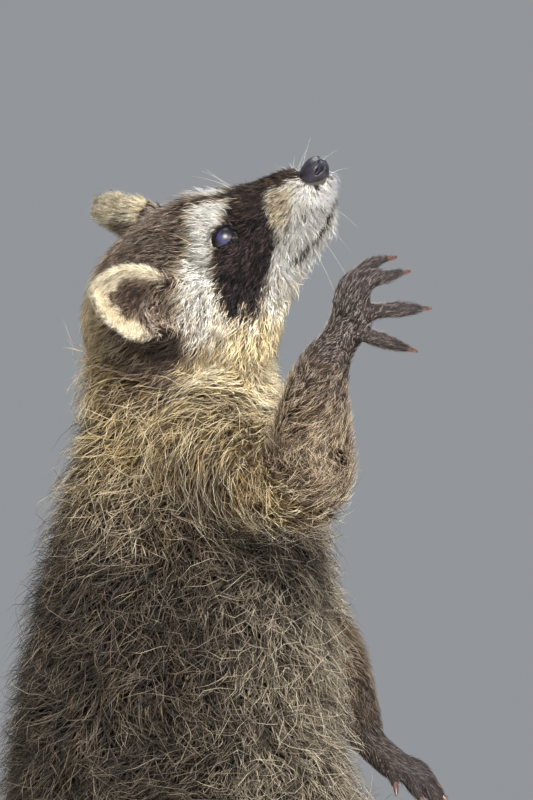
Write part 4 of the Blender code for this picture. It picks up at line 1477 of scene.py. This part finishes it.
    def locks(self, layer: Layer, roots: dict[str, np.ndarray],
              joints: np.ndarray) -> tuple[np.ndarray, np.ndarray]:
        """Build a closed three-sided lock round each path.

        Args:
            layer: the layer that grows.
            roots: what roots() returned.
            joints: what paths() returned.

        Returns:
            The points and the triangles of all the locks.
        """
        rings, count = layer.cut.value + 1, joints.shape[1]
        run = unit(joints[1:] - joints[:-1])
        taper = {0: [1.0], 1: [0.9, 0.72], 2: [0.8, 1.0, 0.62], 3: [0.8, 1.0, 0.9, 0.6]}[layer.cut.value]
        width = layer.width * MM * (0.35 + 0.65 * np.minimum(roots["depth"] / 6, 1)) / 2
        corners = np.empty((count, rings * 3 + 1, 3))
        normal = roots["normal"]
        for ring in range(rings):
            ahead = run[ring] if ring == 0 else unit(run[ring - 1] + run[min(ring, rings - 1)])
            across = unit(np.cross(normal, ahead))
            over = np.cross(ahead, across)
            for corner in range(3):
                angle = math.pi / 2 + corner * 2 * math.pi / 3
                reach = width[:, None] * taper[ring]
                corners[:, ring * 3 + corner] = (joints[ring] + across * math.cos(angle) * reach
                                                 + over * math.sin(angle) * reach * self.flat)
        corners[:, -1] = joints[-1]
        corners[:, :, 2] = np.maximum(corners[:, :, 2], 0.3 * MM)
        shape = [(0, 2, 1)]
        for ring in range(rings - 1):
            for corner in range(3):
                here, there = ring * 3 + corner, ring * 3 + (corner + 1) % 3
                shape += [(here, there, there + 3), (here, there + 3, here + 3)]
        last = (rings - 1) * 3
        shape += [(last + corner, last + (corner + 1) % 3, rings * 3) for corner in range(3)]
        starts = np.arange(count)[:, None, None] * (rings * 3 + 1)
        faces = (np.array(shape)[None] + starts).reshape(-1, 3)
        return corners.reshape(-1, 3), faces

    def colours(self, layer: Layer, roots: dict[str, np.ndarray], joints: np.ndarray,
                rng: np.random.Generator) -> np.ndarray:
        """Colour each lock from root to tip by the markings where its outer half lies.

        Args:
            layer: the layer that grows.
            roots: what roots() returned.
            joints: what paths() returned.
            rng: the layer's random numbers.

        Returns:
            Linear RGBA for each point of the locks.
        """
        count, rings = joints.shape[1], layer.cut.value + 1
        seen = joints[-1] * 0.6 + joints[0] * 0.4
        seen = seen + roots["normal"] * (roots["depth"] * 0.35 * MM)[:, None]
        spill = (0.4 + 0.1 * roots["depth"]) * MM
        seen = seen + rng.normal(size=(count, 3))[roots["leader"]] * spill[:, None]
        shares = self.markings.weights(seen, roots["part"], roots["normal"])
        pick = (np.cumsum(shares, axis=1) > rng.random(count)[roots["leader"]][:, None]).argmax(axis=1)
        soft = 0.6
        tones = np.array([shade.value.linear() for shade in SHADES])
        mixed = np.einsum("ns,sjc->njc", shares, tones) * (1 - soft) + tones[pick] * soft
        light = rng.uniform(1 - layer.contrast, 1 + layer.contrast, count)[:, None]
        kind = rng.random(count)
        kind = np.where(rng.random(count) < layer.together, kind[roots["leader"]], kind)[:, None]
        pale = layer.pale * (shares @ np.array([shade.value.bright for shade in SHADES]))[:, None]
        plain = kind > pale
        dark = kind > 1 - 0.5 * (1 - pale)
        middle = np.where(dark, 0.6 * mixed[:, 0] + 0.25 * mixed[:, 1], mixed[:, 1] * light)
        tip = np.where(plain, mixed[:, 1], mixed[:, 2] * light)
        tip = np.where(dark, mixed[:, 1] * 0.28, tip)
        stops = [mixed[:, 0] * light, middle, tip]
        colour = np.ones((count, rings * 3 + 1, 4))
        for ring in range(rings + 1):
            share = layer.base + (1 - layer.base) * ring / rings
            low, high = (stops[0], stops[1]) if share < 0.5 else (stops[1], stops[2])
            part = share * 2 if share < 0.5 else share * 2 - 1
            value = low * (1 - part) + high * part
            where = slice(ring * 3, ring * 3 + 3) if ring < rings else slice(rings * 3, None)
            colour[:, where, :3] = value[:, None]
        return np.clip(colour, 0, 0.95).reshape(-1, 4)

    def map_places(self, roots: dict[str, np.ndarray], cut: Cut) -> np.ndarray:
        """Place each lock on the bake's map, at its root on an unrolled part of the hide.

        Args:
            roots: what roots() returned.
            cut: the locks' make.

        Returns:
            UV for each point of the locks.
        """
        uv = unroll(roots["place"], roots["part"])
        rings = cut.value + 1
        spots = np.empty((len(uv), rings * 3 + 1, 2))
        for ring in range(rings):
            for corner in range(3):
                spots[:, ring * 3 + corner] = uv + self.patch * np.array([corner / 2, ring / rings])
        spots[:, -1] = uv + self.patch * np.array([0.5, 1.0])
        return np.clip(spots, 0, 1).reshape(-1, 2)


def part_axis(name: str) -> tuple[np.ndarray, np.ndarray]:
    """Return a point and a direction that a part of the body is unrolled about."""
    ends = {"upper_arm": ("trunk", "forearm"), "forearm": ("upper_arm", "forepaw"),
            "forepaw": ("forearm", "claw_forepaw"), "leg": ("trunk", "hindpaw"),
            "hindpaw": ("leg", "claw_hindpaw")}
    kind = kind_of(name)
    if kind == "head":
        return HEAD.origin, HEAD.forward
    if kind == "tail":
        start, end = Markings.tail_axis()
        return start, unit(end - start)
    if kind == "ear":
        ear = Ear(name.rpartition("_")[2])
        return ear.foot, ear.rise
    if kind in ends:
        side = name.rpartition("_")[2]
        first, last = ends[kind]
        start = centre_of(first if first == "trunk" else f"{first}_{side}")
        end = centre_of(f"{last}_{side}" + ("_3" if last.startswith("claw") else ""))
        return centre_of(name), unit(end - start)
    return centre_of(name), np.array([0.0, 0.0, 1.0])


def unroll(points: np.ndarray, part: np.ndarray) -> np.ndarray:
    """Unroll the hide part by part about each part's axis, each into a tile of the map.

    Args:
        points: places on the hide, in metres.
        part: the index in FLESH of the part that each belongs to.

    Returns:
        UV between 0 and 1.
    """
    uv = np.zeros((len(points), 2))
    across = 4
    for index, name in enumerate(FLESH):
        chosen = part == index
        if not chosen.any():
            continue
        middle, axis = part_axis(name)
        side = unit(np.cross(axis, [0.31, 0.95, 0.05]))
        other = np.cross(axis, side)
        away = points[chosen] - middle
        turn = np.arctan2(away @ other, away @ side) / (2 * math.pi) + 0.5
        low, high = (np.array(corner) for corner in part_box(name))
        size = np.linalg.norm(high - low)
        along = (away @ axis) / size + 0.5
        tile = np.array([index % across, index // across])
        uv[chosen] = (tile + 0.04 + 0.9 * np.clip(np.stack([turn, along], axis=-1), 0, 1)) / across
    return uv


LAYERS = [
    Layer("face_down", ("head",), 18000, Cut.SPIKE, 1.5, 1.1, depth_to=7.5, stray=10, clump=0.2,
          pale=0.4, top=(0.35, 0.7), slot="head_coat", swirl=7, contrast=0.25, base=0.0),
    Layer("face", ("head",), 42000, Cut.SPIKE, 1.8, 0.84, depth_to=7.5, stray=14, clump=0.45,
          clump_size=4, pale=0.58, slot="head_coat", swirl=9, top=(0.5, 1.3), contrast=0.28,
          base=0.05),
    Layer("cheek", ("head",), 18500, Cut.LOCK, 1.1, 0.54, depth_from=6, stray=18, clump=0.3,
          clump_size=4, pale=0.6, slot="head_coat", curl=1.6, swirl=16, contrast=0.28, base=0.1,
          together=0.5),
    Layer("wisp", ("head",), 1900, Cut.WAVE, 1.8, 0.22, depth_from=2.6, top=(1.1, 2.0),
          stray=20, clump=0, pale=0.7, slot="head_coat", curl=1.5, base=0.5, tallest=7.5),
    Layer("ear", ("ear_",), 12000, Cut.SPIKE, 3.0, 0.62, top=(0.7, 2.2), stray=16, clump=0.35,
          clump_size=4, extra=2.4, pale=0.66, slot="ear_coat", base=0.25, contrast=0.25),
    Layer("under", ("neck", "trunk"), 18000, Cut.LOCK, 0.95, 1.6, top=(0.4, 0.78), stray=22,
          clump=0.15, pale=0.12, curl=1.4, swirl=24, base=0.15, contrast=0.3, together=0.3),
    Layer("guard", ("neck", "trunk", "upper_arm", "forearm"), 22000, Cut.HAIR, 1.2, 0.41,
          depth_from=8, top=(0.6, 1.12), stray=42, clump=0.15, clump_size=5, pale=0.56, curl=5.0,
          swirl=36, extra=3, base=0.2, contrast=0.26, together=0.45),
    Layer("long", ("neck", "trunk", "upper_arm"), 2400, Cut.WAVE, 1.5, 0.36, depth_from=8,
          top=(1.0, 1.35), stray=60, clump=0, pale=0.95, curl=6.0, swirl=30, extra=4, base=0.35),
    Layer("limb", ("upper_arm", "leg"), 9800, Cut.LOCK, 1.3, 0.75, top=(0.5, 1.0), stray=18,
          clump=0.25, pale=0.42, curl=1.4, swirl=20, slot="limb_coat"),
    Layer("forearm", ("forearm",), 10500, Cut.LOCK, 1.6, 0.55, top=(0.5, 1.0), stray=15, clump=0.3,
          clump_size=4, pale=0.55, curl=1.2, swirl=18, extra=3.4, slot="limb_coat", together=0.4),
    Layer("paw", ("forepaw", "hindpaw"), 24000, Cut.SPIKE, 2.6, 0.8, top=(0.4, 0.95), stray=12,
          clump=0.35, clump_size=4, pale=0.55, swirl=8, extra=2.2, slot="paw_coat", base=0.1,
          contrast=0.3, together=0.25),
    Layer("tail", ("tail",), 10000, Cut.LOCK, 1.4, 1.0, top=(0.6, 1.08), stray=16, clump=0.3,
          pale=0.5, curl=1.5, swirl=12, extra=2, slot="tail_coat", base=0.3),
]


# ---------------------------------------------------------------- eyes, nose, whiskers, claws

@dataclass
class Eyes:
    """Two eyeballs with a cornea that stands a little proud of each."""

    finish: EyeFinish
    rings: int = 40
    bulge: float = 0.6  # mm
    cornea: float = 5.4  # mm, its radius

    def build(self) -> None:
        """Make both eyes in place of the plain balls."""
        material = self.finish.build(EYE_RADIUS)
        for side in SIDES:
            build = bmesh.new()
            bmesh.ops.create_uvsphere(build, u_segments=2 * self.rings, v_segments=self.rings,
                                      radius=EYE_RADIUS * MM)
            for vertex in build.verts:
                away = math.hypot(vertex.co.x, vertex.co.y) / (self.cornea * MM)
                if vertex.co.z > 0 and away < 1:
                    vertex.co += vertex.co.normalized() * self.bulge * MM * (1 - away ** 2)
            mesh = bpy.data.meshes.new(f"eyeball_{side}")
            build.to_mesh(mesh)
            build.free()
            mesh.shade_smooth()
            gaze = Vector(HEAD.direction(EYE_GAZE[side]))
            turn = gaze.to_track_quat("Z", "Y").to_matrix().to_4x4()
            place = Matrix.Translation(Vector(centre_of(f"eye_{side}"))) @ turn
            piece = make_object(f"eyeball_{side}", mesh, material, place)
            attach(piece, "root")
            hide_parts(f"eye_{side}")
        log.info("eyes made")


@dataclass
class NosePad:
    """The bare nose: a rounded pad with two comma nostrils and a groove down its middle."""

    finish: NoseFinish
    steps: int = 72

    def build(self) -> None:
        """Make the pad in place of the plain one."""
        build = bmesh.new()
        bmesh.ops.create_uvsphere(build, u_segments=2 * self.steps, v_segments=self.steps, radius=1.0)
        points = np.array([v.co[:] for v in build.verts])
        shaped = self.shape(points)
        world = HEAD.world(shaped + np.array(NOSE_CENTRE))
        middle = world.mean(axis=0)
        for vertex, place in zip(build.verts, (world - middle).tolist()):
            vertex.co = place
        mesh = bpy.data.meshes.new("nose_pad")
        build.to_mesh(mesh)
        build.free()
        mesh.shade_smooth()
        piece = make_object("nose_pad", mesh, self.finish.build(), Matrix.Translation(Vector(middle)))
        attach(piece, "root")
        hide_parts("nose")
        log.info("nose pad made")

    @staticmethod
    def shape(ball: np.ndarray) -> np.ndarray:
        """Shape a unit ball to the pad, in mm about its centre."""
        power = 2.5
        norm = (np.abs(ball) ** power).sum(axis=1, keepdims=True) ** (1 / power)
        body = ball / norm * np.array(NOSE_RADII)
        f, out, up = body[:, 0], body[:, 1], body[:, 2]
        body[:, 1] *= 1 - 0.18 * ramp(up, 0, -6)
        front = ramp(f, -1.5, 3)
        groove = np.exp(-(out / 0.55) ** 2) * ramp(up, 2.5, -1) * front
        body[:, 0] -= 0.9 * groove
        side = np.abs(out)
        comma = np.array([[2.6, 1.4], [3.6, 0.6], [5.0, 0.0], [6.6, 0.7]])
        away = line_distance(np.stack([side, up], axis=-1), comma)
        bore = np.exp(-(away / 1.05) ** 2) * front
        body[:, 0] -= 3.0 * bore
        body[:, 1] -= np.sign(out) * 0.6 * bore
        wing = np.exp(-((away - 1.9) / 0.8) ** 2) * front
        body[:, 0] += 0.3 * wing
        return body


@dataclass
class Whiskers:
    """Tapered stiff hairs on the muzzle and over the eyes."""

    finish: FurFinish
    rows: int = 3
    per_row: int = 4
    radius: float = 0.09  # mm at the root
    steps: int = 9
    sides: int = 5

    def build(self, lie: Lie) -> None:
        """Make all the whiskers as one piece.

        Args:
            lie: finds the hide's surface that each whisker is rooted in.
        """
        rng = np.random.default_rng(77)
        points, faces, colours = [], [], []
        for mirror in (1, -1):
            for root, heading, length in self.plan(rng):
                root = HEAD.world(np.array(root) * (1, mirror, 1))
                heading = unit(HEAD.direction(np.array(heading) * (1, mirror, 1)))
                near = lie.nearest(root[None])[0]
                start = lie.hide.points[near] - lie.hide.normals[near] * 0.5 * MM
                self.add_hair(start, heading, length, len(points) * self.steps * self.sides,
                              points, faces, colours)
        mesh = make_mesh("whiskers", np.vstack(points), np.vstack(faces))
        tint(mesh, np.vstack(colours))
        piece = make_object("whiskers", mesh, self.finish.build())
        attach(piece, "root")
        log.info("whiskers made: %d triangles", len(mesh.polygons))

    def plan(self, rng: np.random.Generator) -> list[tuple]:
        """Return each left whisker's root, heading and length in mm."""
        hairs = []
        for row in range(self.rows):
            for column in range(self.per_row):
                back = column / (self.per_row - 1)
                root = (71 - 13 * back, 9 + 6 * back, -9 - 4.2 * row)
                heading = (0.5 - 0.5 * back, 0.8, 0.1 - 0.3 * row + rng.uniform(-0.12, 0.12))
                hairs.append((root, heading, rng.uniform(22, 34) + 12 * back))
        for step in range(3):
            hairs.append(((43 + 2.5 * step, 15, 17), (0.2 - 0.2 * step, 0.25, 1), 20 + 3 * step))
        return hairs

    def add_hair(self, start: np.ndarray, heading: np.ndarray, length: float, first: int,
                 points: list, faces: list, colours: list) -> None:
        """Add one curved, tapered and closed hair."""
        across = unit(np.cross(heading, HEAD.up))
        over = np.cross(heading, across)
        sag = -HEAD.up * 0.12 - HEAD.forward * 0.18
        ring = np.arange(self.sides) * 2 * math.pi / self.sides
        hair = np.empty((self.steps, self.sides, 3))
        for step in range(self.steps):
            share = step / (self.steps - 1)
            middle = start + (heading * share + sag * share ** 2) * length * MM
            radius = self.radius * MM * (1 - 0.85 * share)
            hair[step] = (middle + np.cos(ring)[:, None] * across * radius
                          + np.sin(ring)[:, None] * over * radius)
        points.append(hair.reshape(-1, 3))
        turns = []
        for step in range(self.steps - 1):
            for side in range(self.sides):
                a, b = step * self.sides + side, step * self.sides + (side + 1) % self.sides
                turns += [(a, b, b + self.sides), (a, b + self.sides, a + self.sides)]
        last = (self.steps - 1) * self.sides
        for side in range(1, self.sides - 1):
            turns += [(0, side + 1, side), (last, last + side, last + side + 1)]
        faces.append(np.array(turns) + first)
        colour = np.ones((self.steps * self.sides, 4))
        colour[:, :3] = hex_linear("#B9B2A4")
        colours.append(colour)


@dataclass
class Claws:
    """The twenty claws, kept from the model, smoothed and finished as horn."""

    finish: HornFinish
    thicker: float = 0.3  # mm, as the rounding draws the surface in

    def build(self) -> None:
        """Give each claw its finish and a rounder surface."""
        material = self.finish.build()
        for name in CLAWS:
            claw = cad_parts[name]
            claw.data.materials.clear()
            claw.data.materials.append(material)
            for slot in claw.material_slots:
                slot.material = material
            claw.modifiers.new("join", "WELD")
            round_off = claw.modifiers.new("round", "SUBSURF")
            round_off.levels = round_off.render_levels = 2
            thicken = claw.modifiers.new("thicken", "DISPLACE")
            thicken.strength = self.thicker * MM
            thicken.mid_level = 0.0
        log.info("claws finished")


# ---------------------------------------------------------------- the studio

@dataclass
class Studio:
    """A pale floor, soft lights and the camera."""

    azimuth: float = -65.0  # degrees, where the camera stands
    distance: float = 2.5  # metres
    frame_height: float = 0.400  # metres that the picture spans at the nose
    nose_right: float = 0.0239  # metres from the picture's middle line to the nose
    nose_up: float = 0.1137
    floor_radius: float = 1.45

    def build(self) -> None:
        """Set up the camera, the floor, the world and the lights."""
        self.camera()
        self.floor()
        self.world()
        self.lights()
        bpy.context.scene.view_settings.view_transform = "Standard"
        log.info("studio ready")

    def axes(self) -> tuple[np.ndarray, np.ndarray]:
        """Return the direction back to the camera and the picture's right."""
        turn = math.radians(self.azimuth)
        return (np.array([math.sin(turn), -math.cos(turn), 0.0]),
                np.array([math.cos(turn), math.sin(turn), 0.0]))

    def camera(self) -> None:
        """Place the camera level with the middle of the picture."""
        back, right = self.axes()
        target = centre_of("nose") - right * self.nose_right - np.array([0, 0, self.nose_up])
        data = bpy.data.cameras.new("camera")
        data.sensor_fit = "VERTICAL"
        data.sensor_height = 24.0
        data.lens = data.sensor_height * self.distance / self.frame_height
        camera = bpy.data.objects.new("camera", data)
        camera.location = Vector(target + back * self.distance)
        camera.rotation_euler = Vector(-back).to_track_quat("-Z", "Y").to_euler()
        bpy.context.scene.collection.objects.link(camera)
        bpy.context.scene.camera = camera

    def floor(self) -> None:
        """Lay a round pale floor under the animal."""
        build = bmesh.new()
        bmesh.ops.create_circle(build, cap_ends=True, segments=96, radius=self.floor_radius)
        mesh = bpy.data.meshes.new("floor")
        build.to_mesh(mesh)
        build.free()
        floor = make_object("floor", mesh, PaintFinish().build(), Matrix.Translation((0, 0, -0.0002)))

    @staticmethod
    def world() -> None:
        """Surround the scene with an even pale light."""
        world = bpy.data.worlds.new("studio")
        bpy.context.scene.world = world
        world.use_nodes = True
        world.node_tree.nodes.clear()
        light = add_node(world.node_tree, "ShaderNodeBackground", None,
                         {"Color": rgba("#C9CDD2"), "Strength": 0.5})
        add_node(world.node_tree, "ShaderNodeOutputWorld", None, None,
                 {"Surface": light.outputs["Background"]})

    def lights(self) -> None:
        """Hang a soft key above the camera, a wide fill to its right and a weak light behind."""
        back, right = self.axes()
        middle = np.array([0, 0, 0.3])
        up = np.array([0, 0, 1.0])
        plan = [("key", back * 1.65 + right * 0.2 + up * 1.05, 0.8, 94, "#FFFBF4"),
                ("fill", back * 1.2 + right * 1.4 + up * 0.5, 1.2, 40, "#F6F6FF"),
                ("top", -back * 0.9 + up * 1.6, 0.9, 16, "#FFFFFF")]
        for name, offset, size, power, colour in plan:
            data = bpy.data.lights.new(name, "AREA")
            data.size = size
            data.energy = power
            data.color = hex_linear(colour)
            light = bpy.data.objects.new(name, data)
            light.location = Vector(middle + offset)
            light.rotation_euler = Vector(-offset).to_track_quat("-Z", "Y").to_euler()
            bpy.context.scene.collection.objects.link(light)


# ---------------------------------------------------------------- putting it together

LID_SKIN = "#0C090B"  # the bare black rim of an eye
LID_PAINT = (2.4, 1.4)  # mm outside the eyeball where that rim begins and is full


def dress_hide(hide: Hide, markings: Markings) -> None:
    """Put the hide into the scene with the coat's markings, in place of the flesh."""
    mesh = make_mesh("hide", hide.points, hide.faces)
    shares = markings.weights(hide.outer, hide.part, hide.normals)
    tones = np.array([shade.value.linear() for shade in SHADES])
    bare = np.einsum("ns,sc->nc", shares, tones[:, 0] * 0.45 + tones[:, 1] * 0.55)
    places = HEAD.local(hide.points)
    for side in SIDES:
        reach = np.linalg.norm(places - Hide.eye_place(side), axis=1)
        lid = ramp(reach, EYE_RADIUS + LID_PAINT[0], EYE_RADIUS + LID_PAINT[1])[:, None]
        bare = bare * (1 - lid) + hex_linear(LID_SKIN) * lid
    colour = np.ones((len(bare), 4))
    colour[:, :3] = bare
    tint(mesh, colour)
    piece = make_object("hide", mesh, HideFinish().build())
    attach(piece, "root")
    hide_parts(*FLESH)


def write_sizes() -> None:
    """Bring the view layer up to date."""
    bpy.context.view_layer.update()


def main() -> None:
    """Build the model from the hide outwards."""
    logging.basicConfig(level=logging.INFO, format="%(relativeCreated)6d ms %(message)s")
    Studio().build()
    hide = Hide()
    hide.build()
    markings = Markings()
    dress_hide(hide, markings)
    lie = Lie(hide)
    lie.build()
    coat = Coat(hide, lie, markings, FurFinish("coat_hair").build())
    for number, layer in enumerate(LAYERS):
        coat.grow(layer, 100 + number)
    Eyes(EyeFinish()).build()
    NosePad(NoseFinish()).build()
    Whiskers(FurFinish("whisker_hair", roughness=0.35, gloss=0.5, contrast=0.05)).build(lie)
    Claws(HornFinish()).build()
    write_sizes()


if __name__ == "__main__":
    main()
